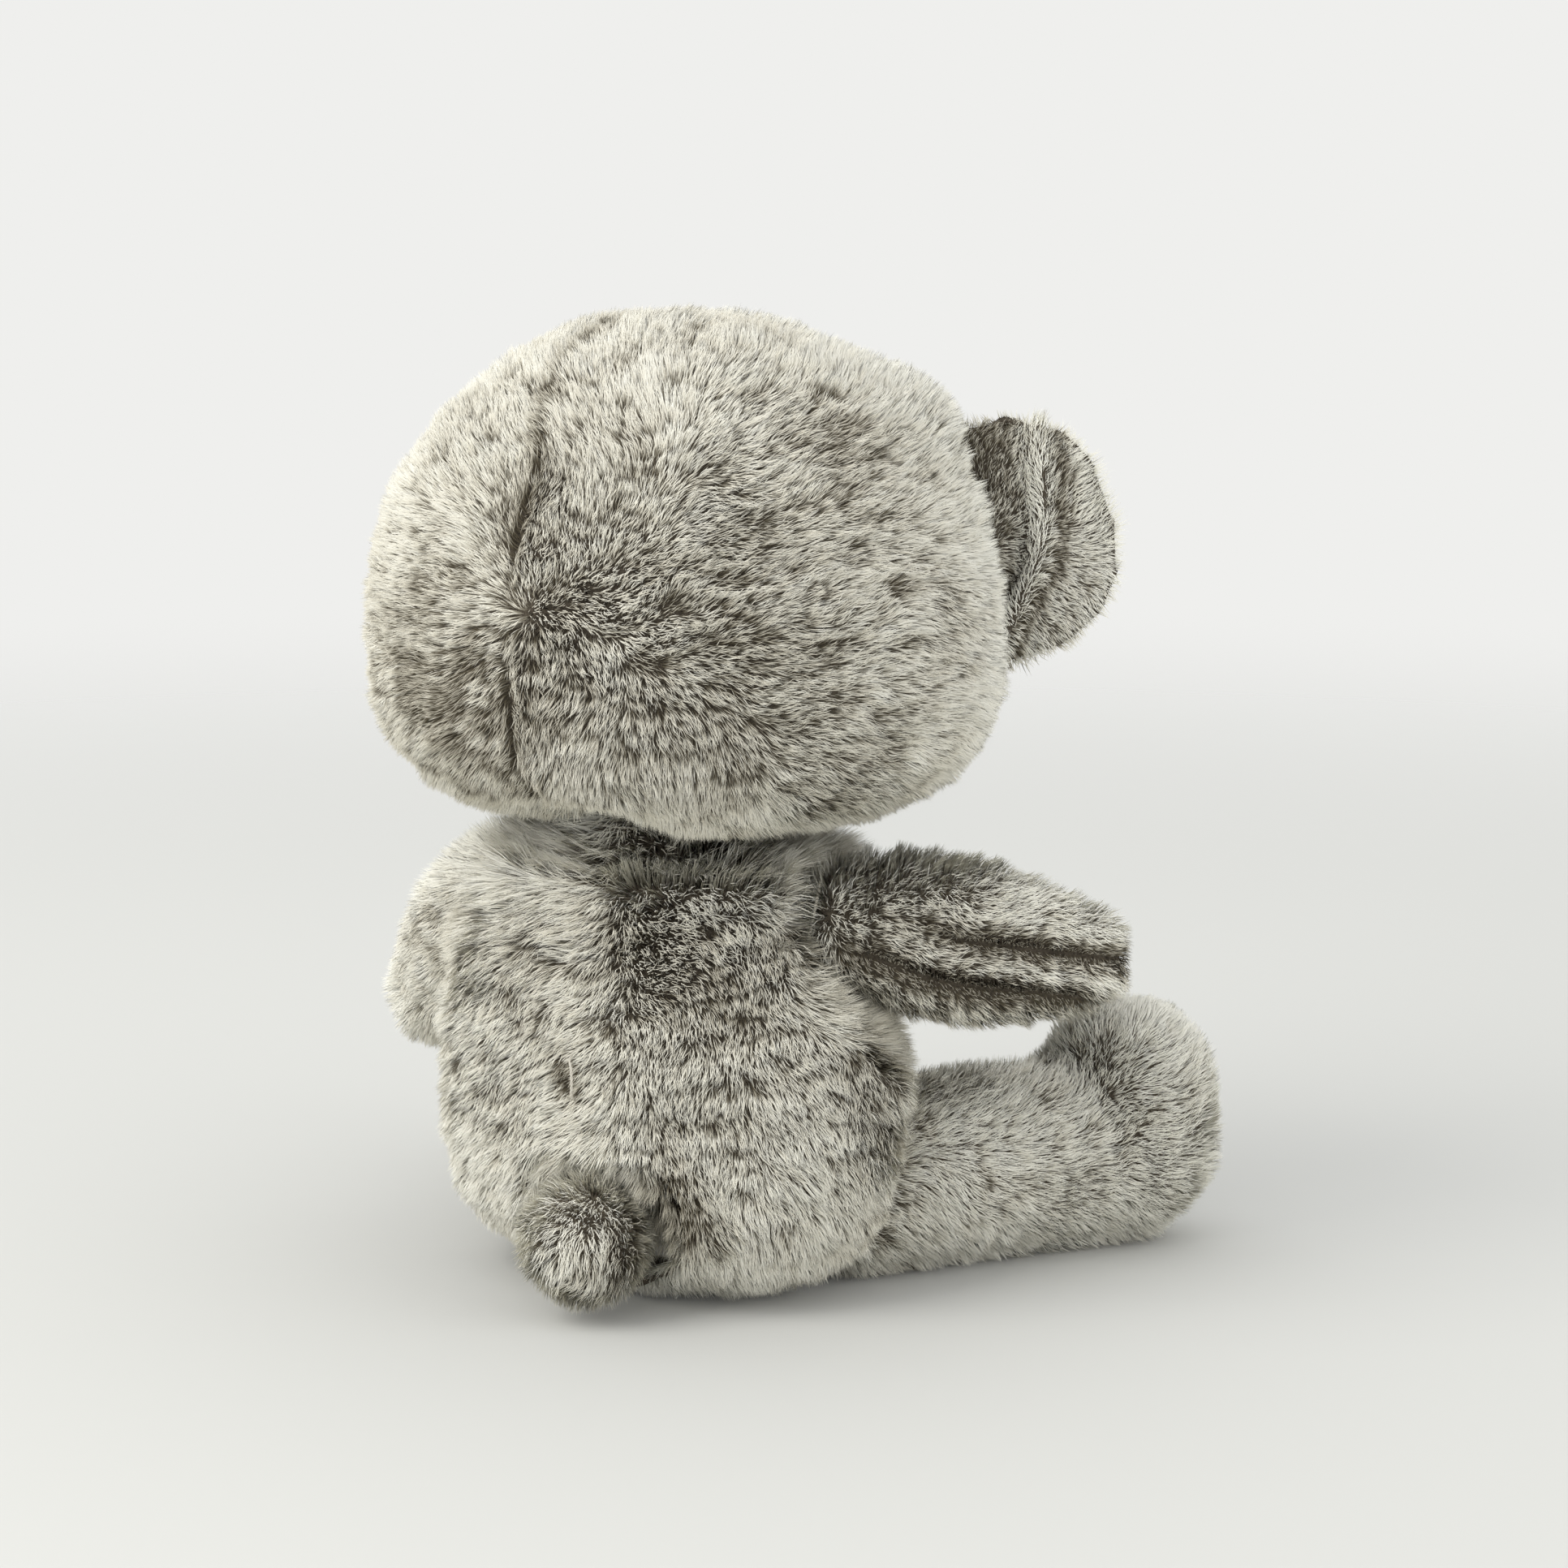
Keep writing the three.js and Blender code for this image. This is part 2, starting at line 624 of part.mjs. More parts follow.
function addTail() {
  const height = TAIL_BALL_RADIUS + TAIL_LIFT;
  const pivot = torsoPoint(180 + TAIL_SIDE_ANGLE, height, TAIL_SUNK);
  const frame = addFrame(bear, pivot, ['Z', 90 + TAIL_SIDE_ANGLE]);
  const middle = addFrame(frame, new THREE.Vector3(TAIL_LENGTH - TAIL_BALL_RADIUS, 0, 0));
  const inside = (inset) => carry(ball(TAIL_BALL_RADIUS - inset, innerFacets), middle, frame);
  const mouth = wallHole(TAIL_MOUTH_RADIUS, 0);
  const cover = cut(tail.outline(0, limbFacets), inside(COVER_WALL), mouth);
  addPiece(frame, 'tail_cover', cover, plush);
  addPiece(frame, 'tail_stuffing', inside(COVER_WALL + PIECE_GAP), filling);
  return limbRoom(tail, frame, 1, TAIL_WAG, TAIL_WAG, 0, 0);
}

// Ears

// The height and the share of the full width at one place round the ear's outline
function earLevel(degrees, halfHeight) {
  const rise = Math.sin(radians(degrees));
  return {
    width: Math.cos(radians(degrees)) ** (2 / EAR_FULLNESS),
    height: halfHeight * Math.sign(rise) * Math.abs(rise) ** (2 / EAR_FULLNESS),
  };
}

// A cupped ear in the X-Z plane about its fold line, with a round root along Z
function earForm(inset, { rings, sides }) {
  const levels = spread(-90, 90, rings).slice(1, -1);
  const outline = levels.map((degrees) => {
    const { width, height } = earLevel(degrees, EAR_HALF_HEIGHT - inset);
    return spread(0, 360, sides)
      .slice(0, -1)
      .map((turn) => {
        const outward = Math.cos(radians(turn));
        const reach = (outward > 0 ? EAR_REACH : EAR_HALF_THICKNESS) - inset;
        const x = reach * width * outward;
        const bend = EAR_CUP * (Math.max(x, 0) / EAR_REACH) ** 2;
        const y = (EAR_HALF_THICKNESS - inset) * width * Math.sin(radians(turn)) - bend;
        return new THREE.Vector3(x, y, height);
      });
  });
  const bottom = new THREE.Vector3(0, 0, inset - EAR_HALF_HEIGHT);
  const top = new THREE.Vector3(0, 0, EAR_HALF_HEIGHT - inset);
  return closedForm(bottom, outline, top);
}

// A thin cupped sheet between the ear's two layers
function earParting() {
  const across = spread(-2 * EAR_REACH, 2 * EAR_REACH, EAR_SHEET_STEPS).map((x) => {
    const bend = EAR_CUP * (Math.max(x, 0) / EAR_REACH) ** 2;
    return new THREE.Vector2(x, -bend);
  });
  const front = across.map((point) => new THREE.Vector2(point.x, point.y - PIECE_GAP / 2));
  const back = across.map((point) => new THREE.Vector2(point.x, point.y + PIECE_GAP / 2));
  const sheet = new THREE.Shape([...front, ...back.reverse()]);
  const height = 4 * EAR_HALF_HEIGHT;
  const options = { depth: height, bevelEnabled: false };
  return toSolid(new THREE.ExtrudeGeometry(sheet, options).translate(0, 0, -height / 2));
}

// Room for the ear's round root and for its blade when it folds both ways
function earRoom() {
  const { rings, sides } = smallFacets;
  const stretch = 1 / Math.cos(Math.PI / sides);
  const levels = spread(-90, 90, rings).slice(1, -1);
  const outline = levels.map((degrees) => {
    const { width, height } = earLevel(degrees, EAR_HALF_HEIGHT + PIECE_GAP);
    const radius = (EAR_HALF_THICKNESS + PIECE_GAP) * stretch * width;
    const blade = 2 * EAR_ROOT_SUNK;
    const behind = spread(90 + EAR_FOLD_BACK, 270 - EAR_FOLD_FORWARD, sides / 2).map((turn) => {
      const angle = radians(turn);
      return new THREE.Vector3(radius * Math.cos(angle), radius * Math.sin(angle), height);
    });
    const cup = EAR_CUP * (blade / EAR_REACH) ** 2;
    const front = -swungReach(blade, radius, EAR_FOLD_FORWARD) - cup;
    const back = swungReach(blade, radius, EAR_FOLD_BACK);
    return [
      ...behind,
      new THREE.Vector3(blade, front, height),
      new THREE.Vector3(blade, back, height),
    ];
  });
  const bottom = new THREE.Vector3(0, 0, -EAR_HALF_HEIGHT - PIECE_GAP);
  const top = new THREE.Vector3(0, 0, EAR_HALF_HEIGHT + PIECE_GAP);
  return closedForm(bottom, outline, top);
}

function addEar(side, name) {
  const turn = side * (90 - EAR_FORWARD_ANGLE);
  const root = roundPoint(headSize, turn, EAR_LIFT, EAR_ROOT_SUNK);
  const heading = side > 0 ? -EAR_FORWARD_ANGLE : 180 + EAR_FORWARD_ANGLE;
  const frame = addFrame(headFrame, root, ['Z', heading], ['Y', -EAR_LEAN]);
  const mirror = new THREE.Matrix4().makeScale(1, side, 1).elements;
  const [front, back] = cut(earForm(0, smallFacets), earParting())
    .decompose()
    .sort((one, other) => one.boundingBox().min[1] - other.boundingBox().min[1]);
  addPiece(frame, `ear_front_${name}`, front.transform(mirror), paleFur);
  addPiece(frame, `ear_back_${name}`, back.transform(mirror), plush);
  return carry(earRoom().transform(mirror), frame, headFrame);
}

// Face

// A domed button with a shank, and the room that it and its washer take up, along +Z
function buttonProfile(radius, dome, depth, sunk, clearance) {
  const rim = radius + clearance;
  const shank = SHANK_RADIUS + clearance;
  const arc = spread(0, 90, BUTTON_DOME_STEPS).slice(1);
  return [
    new THREE.Vector2(0, -depth),
    new THREE.Vector2(shank, -depth),
    new THREE.Vector2(shank, -sunk - clearance),
    new THREE.Vector2(rim, -sunk - clearance),
    ...arc.map((degrees) => {
      const angle = radians(degrees);
      const x = degrees === 90 ? 0 : rim * Math.cos(angle);
      return new THREE.Vector2(x, (dome + clearance) * Math.sin(angle) - sunk);
    }),
  ];
}

function lathed(profile, sides = BUTTON_SIDES) {
  return toSolid(new THREE.LatheGeometry(profile, sides).rotateX(radians(90)));
}

function button(size, wall, clearance) {
  const depth = wall + WASHER_THICKNESS + SHANK_PAST_WASHER + clearance;
  const stretch = new THREE.Matrix4().makeScale(1, size.height / size.width, 1);
  const profile = buttonProfile(size.width, size.dome, depth, BUTTON_SUNK, clearance);
  return lathed(profile).transform(stretch.elements);
}

function washer(wall, clearance) {
  const top = WASHER_SEAT - wall - PIECE_GAP + clearance;
  const bottom = top - WASHER_THICKNESS - 2 * clearance;
  const outer = WASHER_RADIUS + clearance;
  const inner = SHANK_RADIUS + PIECE_GAP;
  const profile = [
    new THREE.Vector2(inner, bottom),
    new THREE.Vector2(outer, bottom),
    new THREE.Vector2(outer, top),
    new THREE.Vector2(inner, top),
    new THREE.Vector2(inner, bottom),
  ];
  return lathed(profile);
}

// Everything behind a button that its shank and washer need, down to the shank's end
function buttonRoom(size, wall) {
  const top = WASHER_SEAT - wall;
  const bottom = -wall - WASHER_THICKNESS - SHANK_PAST_WASHER - 2 * PIECE_GAP;
  const pocket = [
    new THREE.Vector2(0, bottom),
    new THREE.Vector2(WASHER_RADIUS + PIECE_GAP, bottom),
    new THREE.Vector2(WASHER_RADIUS + PIECE_GAP, top),
    new THREE.Vector2(0, top),
  ];
  return button(size, wall, PIECE_GAP).add(lathed(pocket));
}

// A frame on a round form's surface whose +Z points out of it
function surfaceFrame(parent, size, centre, turn, height) {
  const step = 0.5;
  const point = roundPoint(size, turn, height, 0);
  const at = (aside, above) => roundPoint(size, turn + aside, height + above, 0);
  const across = at(step, 0).sub(at(-step, 0));
  const upward = at(0, step).sub(at(0, -step));
  const outward = across.clone().cross(upward).normalize();
  const frame = addFrame(parent, point.add(centre));
  const sideways = across.normalize();
  const basis = new THREE.Matrix4().makeBasis(sideways, outward.clone().cross(sideways), outward);
  frame.setRotationFromMatrix(basis);
  parent.updateMatrixWorld(true);
  return frame;
}

function addButton(frame, name, washerName, size, wall) {
  addPiece(frame, name, button(size, wall, 0), glossyPlastic);
  addPiece(frame, washerName, washer(wall, 0), washerPlastic);
  return carry(buttonRoom(size, wall), frame, headFrame);
}

const muzzleCentre = new THREE.Vector3(0, MUZZLE_SUNK - HEAD_HALF_DEPTH, -MUZZLE_DROP);

function muzzleForm(inset, facets) {
  const place = new THREE.Matrix4().makeTranslation(muzzleCentre);
  return roundForm(muzzleSize, inset, facets).transform(place.elements);
}

// Two curved stitches and the upright one between them, sewn on the muzzle
function mouthStitch() {
  const clear = PIECE_GAP + MOUTH_THREAD_THICKNESS / 2;
  const at = (turn, height) => roundPoint(muzzleSize, turn, height, -clear).add(muzzleCentre);
  const heights = spread(MOUTH_LINE_TOP, MOUTH_LINE_BOTTOM, MOUTH_STEPS);
  const upright = heights.map((height) => at(0, height));
  const smile = spread(-1, 1, 2 * MOUTH_STEPS).map((share) =>
    at(MOUTH_HALF_ANGLE * share, MOUTH_LINE_BOTTOM + MOUTH_CORNER_LIFT * share ** 2),
  );
  const line = threadAlong(upright, MOUTH_THREAD_THICKNESS, MOUTH_STEPS);
  return line.add(threadAlong(smile, MOUTH_THREAD_THICKNESS, 2 * MOUTH_STEPS));
}

function addHead(earRooms) {
  const eyeSize = { width: EYE_RADIUS, height: EYE_RADIUS, dome: EYE_DOME };
  const noseSize = { width: NOSE_HALF_WIDTH, height: NOSE_HALF_HEIGHT, dome: NOSE_DOME };
  const origin = new THREE.Vector3();
  const eyeFrames = [1, -1].map((side) =>
    surfaceFrame(headFrame, headSize, origin, side * EYE_ANGLE, EYE_LIFT),
  );
  const noseHeight = MUZZLE_HALF_HEIGHT * Math.sin(radians(NOSE_LIFT));
  const noseFrame = surfaceFrame(headFrame, muzzleSize, muzzleCentre, 0, noseHeight);
  const rooms = [
    addButton(eyeFrames[0], 'eye_left', 'eye_washer_left', eyeSize, COVER_WALL),
    addButton(eyeFrames[1], 'eye_right', 'eye_washer_right', eyeSize, COVER_WALL),
    addButton(noseFrame, 'nose', 'nose_washer', noseSize, MUZZLE_WALL),
  ];
  const neckRoom = NECK_BALL_RADIUS + SOCKET_GAP;
  const socket = carry(hollowBall(neckRoom, skinFacets), neckFrame, headFrame);
  const seam = new THREE.BoxGeometry(FAR, PIECE_GAP, FAR).translate(0, -FACE_SEAM_FORWARD, 0);
  const muzzleHole = muzzleForm(MUZZLE_WALL, innerFacets);
  const hollow = roundForm(headSize, COVER_WALL, innerFacets);
  const shell = cut(roundForm(headSize, 0, skinFacets), hollow);
  const [face, cover] = cut(shell, socket, muzzleHole, toSolid(seam), ...earRooms, ...rooms)
    .decompose()
    .sort((one, other) => one.boundingBox().min[1] - other.boundingBox().min[1]);
  addPiece(headFrame, 'head_cover', cover, plush);
  addPiece(headFrame, 'face_panel', face, paleFur);
  const headOutline = roundForm(headSize, -PIECE_GAP, skinFacets);
  const muzzle = cut(muzzleForm(0, smallFacets), headOutline, muzzleHole, rooms[2]);
  addPiece(headFrame, 'muzzle_panel', muzzle, paleFur);
  const filler = COVER_WALL + PIECE_GAP;
  const bulk = roundForm(headSize, filler, innerFacets);
  const whole = bulk.add(muzzleForm(MUZZLE_WALL + PIECE_GAP, innerFacets));
  addPiece(headFrame, 'head_stuffing', cut(whole, socket, ...earRooms, ...rooms), filling);
  addPiece(headFrame, 'mouth_stitch', mouthStitch(), blackThread);
}

const leftArmPose = {
  splay: LEFT_ARM_SPLAY,
  drop: LEFT_ARM_DROP,
  raise: LEFT_ARM_RAISE,
  lower: LEFT_ARM_LOWER,
};
const rightArmPose = {
  splay: RIGHT_ARM_SPLAY,
  drop: RIGHT_ARM_DROP,
  raise: RIGHT_ARM_RAISE,
  lower: RIGHT_ARM_LOWER,
};
const limbRooms = [
  addArm(1, 'left', leftArmPose),
  addArm(-1, 'right', rightArmPose),
  addLeg(1, 'left'),
  addLeg(-1, 'right'),
  addTail(),
];
addTorso(limbRooms);
addHead([addEar(1, 'left'), addEar(-1, 'right')]);

export default bear;
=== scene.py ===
"""A plush teddy bear: knitted skins with standing pile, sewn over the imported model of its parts."""

import itertools
import math

import bpy
import numpy as np
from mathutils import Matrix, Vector
from mathutils.bvhtree import BVHTree


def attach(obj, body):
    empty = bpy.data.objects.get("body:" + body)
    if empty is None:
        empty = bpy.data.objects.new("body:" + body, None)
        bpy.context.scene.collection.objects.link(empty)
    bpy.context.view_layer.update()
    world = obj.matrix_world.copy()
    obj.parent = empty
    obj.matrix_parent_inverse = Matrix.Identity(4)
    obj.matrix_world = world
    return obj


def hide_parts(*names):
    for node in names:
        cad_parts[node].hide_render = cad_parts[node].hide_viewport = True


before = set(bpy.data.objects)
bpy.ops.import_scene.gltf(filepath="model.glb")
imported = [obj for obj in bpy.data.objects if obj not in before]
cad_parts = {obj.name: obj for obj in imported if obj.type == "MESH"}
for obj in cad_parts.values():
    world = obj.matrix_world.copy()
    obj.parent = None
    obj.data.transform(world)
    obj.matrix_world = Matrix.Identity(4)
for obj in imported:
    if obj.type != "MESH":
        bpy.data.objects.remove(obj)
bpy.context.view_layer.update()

MM = 0.001

# The photograph's view of the bear
VIEW_AZIMUTH = math.radians(212)
VIEW_ELEVATION = math.radians(9.5)
VIEW_DISTANCE = 1.5
VIEW_LENS = 100
VIEW_MIDDLE_HEIGHT = 0.174
VIEW_MIDDLE_ASIDE = 0.038

# The pile
SKIN_INSET = 4.8 * MM  # how far the knitted backing lies below the tips of the pile
PILE_LENGTH = 6.6 * MM
STRAND_WIDTH = 0.34 * MM
TUFT_SIZE = 4.0 * MM  # across the nap
ROW_SPACING = 3.9 * MM  # between the rows that the tips of the pile lie in, along the grain
PARTING_SPACING = 27 * MM  # between the places where the pile parts down to its dark roots
PILE_PER_AREA = 1.55e6  # strands on a square metre
PILE_PIECE_STRANDS = 65000
GROUND_CLEARANCE = 0.4 * MM
SHORTEST_STRAND = 1.2 * MM
ROOT_DEPTH = 0.4 * MM  # how far below the backing a strand starts
TIP_SCATTER = 0.25 * MM
FULL_GATHER = 7 * MM  # strands shorter than this gather less
PARTING_RADIUS = 4.5 * MM
PARTING_PUSH = 2.2 * MM
DEEP_HOLLOW = 6 * MM  # in a hollow as deep as this, strands stand the way that it faces
UV_LOW, UV_ELBOW, UV_HIGH = 0.02, 0.55, 0.98  # where the ends and the bend of a strand lie on its map
PALE_TIP, DARK_TIP = (250, 248, 236), (214, 208, 190)
PALE_ROOT, DARK_ROOT = (204, 198, 180), (86, 78, 61)

# Darker or paler patches of the pile: how much darker, their middle and how far they reach, in mm
HEAD_SPOTTED = (1.1, (36, 84, 214), (30, 46, 34))
HEAD_PATCHES = (
    (0.2, (-12, 98, 243), (17, 30, 14)),
    (0.14, (-50, 70, 250), (44, 60, 20)),
    (0.3, (-82, 20, 300), (16, 34, 14)),
)
# The first back patch, beside the tail, is painted shade. The second is a paler patch of the pile.
BACK_PATCHES = ((1.3, (-29, 60, 39), (14, 34, 11)), (-0.35, (8, 55, 45), (24, 30, 26)))
MUZZLE_PATCH = (1.6, (0, -128, 207), (44, 30, 32))

# The middle of each form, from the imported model's own sizes
FACE_SEAM_Y = -66 * MM
HEAD_WHORL = np.array([-7.5, 96, 243.5]) * MM  # the place that the nap of the head grows away from
FACE_WHORL = np.array([0, -150, 205]) * MM
HEAD_SEAM_DEPTH = 1.6 * MM
BACK_SEAM_DEPTH = 0.4 * MM
SEAM_WIDTH = 4 * MM
HEAD_PUCKER = np.array([-4, 56, 172]) * MM  # where the two back panels of the head meet under it
HEAD_PUCKER_SIZE = np.array([26, 19, 18]) * MM
HEAD_PUCKER_LIFT = np.array([0, 0, 11]) * MM
OVER_EAR = np.array([72, -50, 302]) * MM
OVER_EAR_REACH = 26 * MM
OVER_EAR_PLUMP = 8 * MM
EAR_ROOT = np.array([84.6, -57.8, 255]) * MM
EAR_OUT = np.array([0.8352, -0.5018, 0.225])
EAR_UP = np.array([-0.1928, 0.1159, 0.9744])
EAR_BEHIND = np.array([0.515, 0.8572, 0])
EAR_FOLD_HEIGHTS = np.array([-46, -34, -24, -10, 2, 12, 20, 34, 46]) * MM
EAR_FOLD_PLACES = np.array([-8, 1, 9, 19.5, 24, 26.5, 28, 30, 31]) * MM
SHOULDER = {"left": np.array([68.6, -5, 131]) * MM, "right": np.array([-68.6, -5, 131]) * MM}
ARM_ALONG = {"left": np.array([0.7103, -0.287, -0.6428]), "right": np.array([-0.8283, -0.5379, -0.1564])}
ARM_BEHIND = {"left": np.array([0.3746, 0.9272, 0]), "right": np.array([-0.5446, 0.8387, 0])}
ARM_RISE = {"left": np.array([0.596, -0.2408, 0.766]), "right": np.array([-0.1312, -0.0852, 0.9877])}
ARM_GROOVES = (3.5 * MM, -11.5 * MM)
ARM_GROOVE_STARTS = (14 * MM, -14 * MM)
ARM_GROOVE_DEPTH = {"left": 0.2, "right": 1}
ARM_GROOVE_DRAWN_IN = 3 * MM
ARM_GROOVE_WIDTH = 3 * MM
EAR_RIDGE, EAR_RIDGE_WIDTH = 3.6 * MM, 2.8 * MM
EAR_HOLLOW, EAR_HOLLOW_WIDTH, EAR_HOLLOW_PLACE = 2.4 * MM, 6 * MM, -9 * MM  # before the ridge
HIP = np.array([48.2, -30.6, 33.5]) * MM
LEG_ALONG = np.array([0.5299, -0.848, 0])
TAIL_ROOT = np.array([-4.6, 44.5, 28]) * MM
TAIL_ALONG = np.array([-0.0698, 0.9976, 0])
UNFILLED = ((0.45, TAIL_ROOT, 34 * MM), (1.6, HEAD_PUCKER, 30 * MM))  # how much of a hollow stays open
UP = np.array([0, 0, 1])

# The face
EYES = {"left": np.array([43.4, -108.4, 243]) * MM, "right": np.array([-43.4, -108.4, 243]) * MM}
EYE_OUT = {"left": np.array([0.3821, -0.9165, 0.1183]), "right": np.array([-0.3821, -0.9165, 0.1183])}
EYE_RADIUS = 8 * MM
EYE_DOME = 7 * MM
NOSE = np.array([0, -139.5, 218.4]) * MM
NOSE_OUT = np.array([0, -0.8359, 0.5489])
NOSE_HALF_WIDTH = 13 * MM
NOSE_HALF_HEIGHT = 9 * MM
NOSE_DOME = 8 * MM
BUTTON_SUNK = 4 * MM
SHANK_RADIUS = 2.5 * MM
EYE_SHANK = 10.5 * MM
NOSE_SHANK = 7.5 * MM
MUZZLE_MIDDLE = np.array([0, -108, 207]) * MM
MUZZLE_HALF = np.array([37, 35, 26]) * MM
MUZZLE_PLUMP = 4.5 * MM  # how much nearer the tips its backing lies, because its pile is short
MOUTH_THREAD = 0.75 * MM
MOUTH_LINE = (2 * MM, -16 * MM)
MOUTH_HALF_ANGLE = math.radians(26)
MOUTH_CORNER_LIFT = 9 * MM
MOUTH_PROUD = -0.3 * MM

# The stitch that closes the back
CLOSING_LOW = 52 * MM
CLOSING_HIGH = 108 * MM
CLOSING_STITCHES = 7
CLOSING_HALF_WIDTH = 2.5 * MM
CLOSING_THREAD = 0.5 * MM
OPENING = np.array([2, 60, 83]) * MM  # where the closed seam gapes a little
OPENING_REACH = np.array([4, 20, 7]) * MM
OPENING_LOOP = MM * np.array(  # the slack thread there: aside, proud of the skin, and height
    [(1, 0, 90.5), (0.4, 6, 90), (-2.2, 8, 87), (-2.6, 8, 81.5), (-1, 6, 76), (-0.3, 0, 75)]
)
LOOP_DRAWN_IN = 5 * MM  # how much tighter the thread round a limb is than its CAD loop
BEHIND_ALL = 0.2  # a y that lies behind the whole bear

# The studio
FLOOR_RADIUS = 6
FLOOR_FADE = {"From Min": 0.75, "From Max": 1.9, "To Min": 1, "To Max": 0}
FLOOR_GLOW = 0.02
KEY_POWER, KEY_SIZE = 28.5, 1.5
FILL_POWER, FILL_SIZE = 6, 1.6
LAMP_AIM = Vector((0, 0, 0.15))


# ---- numbers over space


def lattice(cells, seed):
    """The same random number from 0 to 1 each time for a whole-numbered cell."""
    c = cells.astype(np.uint64)
    n = c[..., 0] * np.uint64(73856093) ^ c[..., 1] * np.uint64(19349663)
    n ^= c[..., 2] * np.uint64(83492791) ^ np.uint64(seed * 2654435761 & 0xFFFFFFFF)
    for shift, factor in ((15, 2246822519), (13, 3266489917)):
        n = (n & np.uint64(0xFFFFFFFF)) ^ ((n & np.uint64(0xFFFFFFFF)) >> np.uint64(shift))
        n = n * np.uint64(factor)
    n = (n & np.uint64(0xFFFFFFFF)) ^ ((n & np.uint64(0xFFFFFFFF)) >> np.uint64(16))
    return (n & np.uint64(0xFFFFFF)).astype(float) / 0x1000000


def waves(points, size, seed):
    """Smooth noise from -1 to 1, with bumps about size across."""
    scaled = points / size + 1000
    base = np.floor(scaled)
    part = scaled - base
    part = part * part * (3 - 2 * part)
    total = np.zeros(len(points))
    for corner in itertools.product((0, 1), repeat=3):
        share = np.prod(np.where(np.array(corner) == 1, part, 1 - part), axis=1)
        total += share * lattice(base + corner, seed)
    return 2 * total - 1


def wobble(points, seed):
    """Small smooth moves that keep the edges of tufts from running straight."""
    return np.stack([waves(points, 7 * MM, seed + 50 + k) for k in range(3)], axis=1) * 1.2 * MM


def tufts(points, size, seed):
    """The way from each point to the middle of its tuft, and the tuft's own cell."""
    scaled = points / size + 1000
    base = np.floor(scaled)
    nearest = np.full(len(points), 1e9)
    way = np.zeros_like(points)
    own = np.zeros_like(points)
    for step in itertools.product((-1, 0, 1), repeat=3):
        cell = base + step
        middle = cell + np.stack([lattice(cell, seed + k) for k in range(3)], axis=1)
        off = middle - scaled
        gap = (off**2).sum(axis=1)
        closer = gap < nearest
        nearest = np.where(closer, gap, nearest)
        way[closer] = off[closer]
        own[closer] = cell[closer]
    return way * size, own


def unit(vectors):
    length = np.linalg.norm(vectors, axis=-1, keepdims=True)
    return vectors / np.maximum(length, 1e-12)


def ease(value, low, high):
    """0 below low, 1 above high, and smooth between them."""
    t = np.clip((value - low) / (high - low), 0, 1)
    return t * t * (3 - 2 * t)


def near(points, place, radius):
    """1 at a place, falling to 0 about a radius away from it."""
    return np.exp(-(((points - place) / radius) ** 2).sum(axis=1))


def hump(off, width):
    """1 where off is 0, falling to 0 about a width away from there."""
    return np.exp(-((off / width) ** 2))


def patch(points, darker, middle, reach):
    """How much darker the pile is in one patch, from a row in mm."""
    return darker * near(points, np.array(middle) * MM, np.array(reach) * MM)


def mottled(points, wide, narrow, seed, share=0.6):
    """Uneven patches about wide across, broken up by narrow ones."""
    return waves(points, wide, seed) + share * waves(points, narrow, seed + 1)


# ---- skins


def only(*objects):
    """Leaves just these selected."""
    bpy.ops.object.select_all(action="DESELECT")
    for o in objects:
        o.select_set(True)
    bpy.context.view_layer.objects.active = objects[0]


def applied(piece, kind, **settings):
    only(piece)
    modifier = piece.modifiers.new(kind.lower(), kind)
    for key, value in settings.items():
        setattr(modifier, key, value)
    bpy.ops.object.modifier_apply(modifier=modifier.name)


def copied(name, nodes):
    """One new piece from copies of CAD nodes, with their loose triangles merged."""
    copies = []
    for node in nodes:
        copy = bpy.data.objects.new(name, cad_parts[node].data.copy())
        bpy.context.scene.collection.objects.link(copy)
        copies.append(copy)
    only(*copies)
    if len(copies) > 1:
        bpy.ops.object.join()
    piece = bpy.context.view_layer.objects.active
    bpy.ops.object.mode_set(mode="EDIT")
    bpy.ops.mesh.select_all(action="SELECT")
    bpy.ops.mesh.remove_doubles(threshold=0.01 * MM)
    bpy.ops.object.mode_set(mode="OBJECT")
    piece.data.materials.clear()
    return piece


def filled_out(nodes):
    """The outside of some CAD nodes as if no other part were let into them."""
    piece = copied("filled_out", nodes)
    bpy.ops.object.mode_set(mode="EDIT")
    bpy.ops.mesh.select_all(action="SELECT")
    bpy.ops.mesh.convex_hull(use_existing_faces=False, join_triangles=False)
    bpy.ops.object.mode_set(mode="OBJECT")
    tree = BVHTree.FromObject(piece, bpy.context.evaluated_depsgraph_get())
    bpy.data.objects.remove(piece)
    return tree


def outermost(piece):
    """Keeps the largest closed shell of a piece, and drops any pocket left inside it."""
    only(piece)
    bpy.ops.mesh.separate(type="LOOSE")
    shells = sorted(bpy.context.selected_objects, key=lambda o: len(o.data.vertices))
    for shell in shells[:-1]:
        bpy.data.objects.remove(shell)
    return shells[-1]


def points_of(mesh):
    co = np.empty(len(mesh.vertices) * 3, np.float32)
    mesh.vertices.foreach_get("co", co)
    return co.reshape(-1, 3).astype(float)


def normals_of(mesh):
    co = np.empty(len(mesh.vertices) * 3, np.float32)
    mesh.vertex_normals.foreach_get("vector", co)
    return co.reshape(-1, 3).astype(float)


def reshape(piece, points):
    piece.data.vertices.foreach_set("co", points.astype(np.float32).ravel())
    piece.data.update()


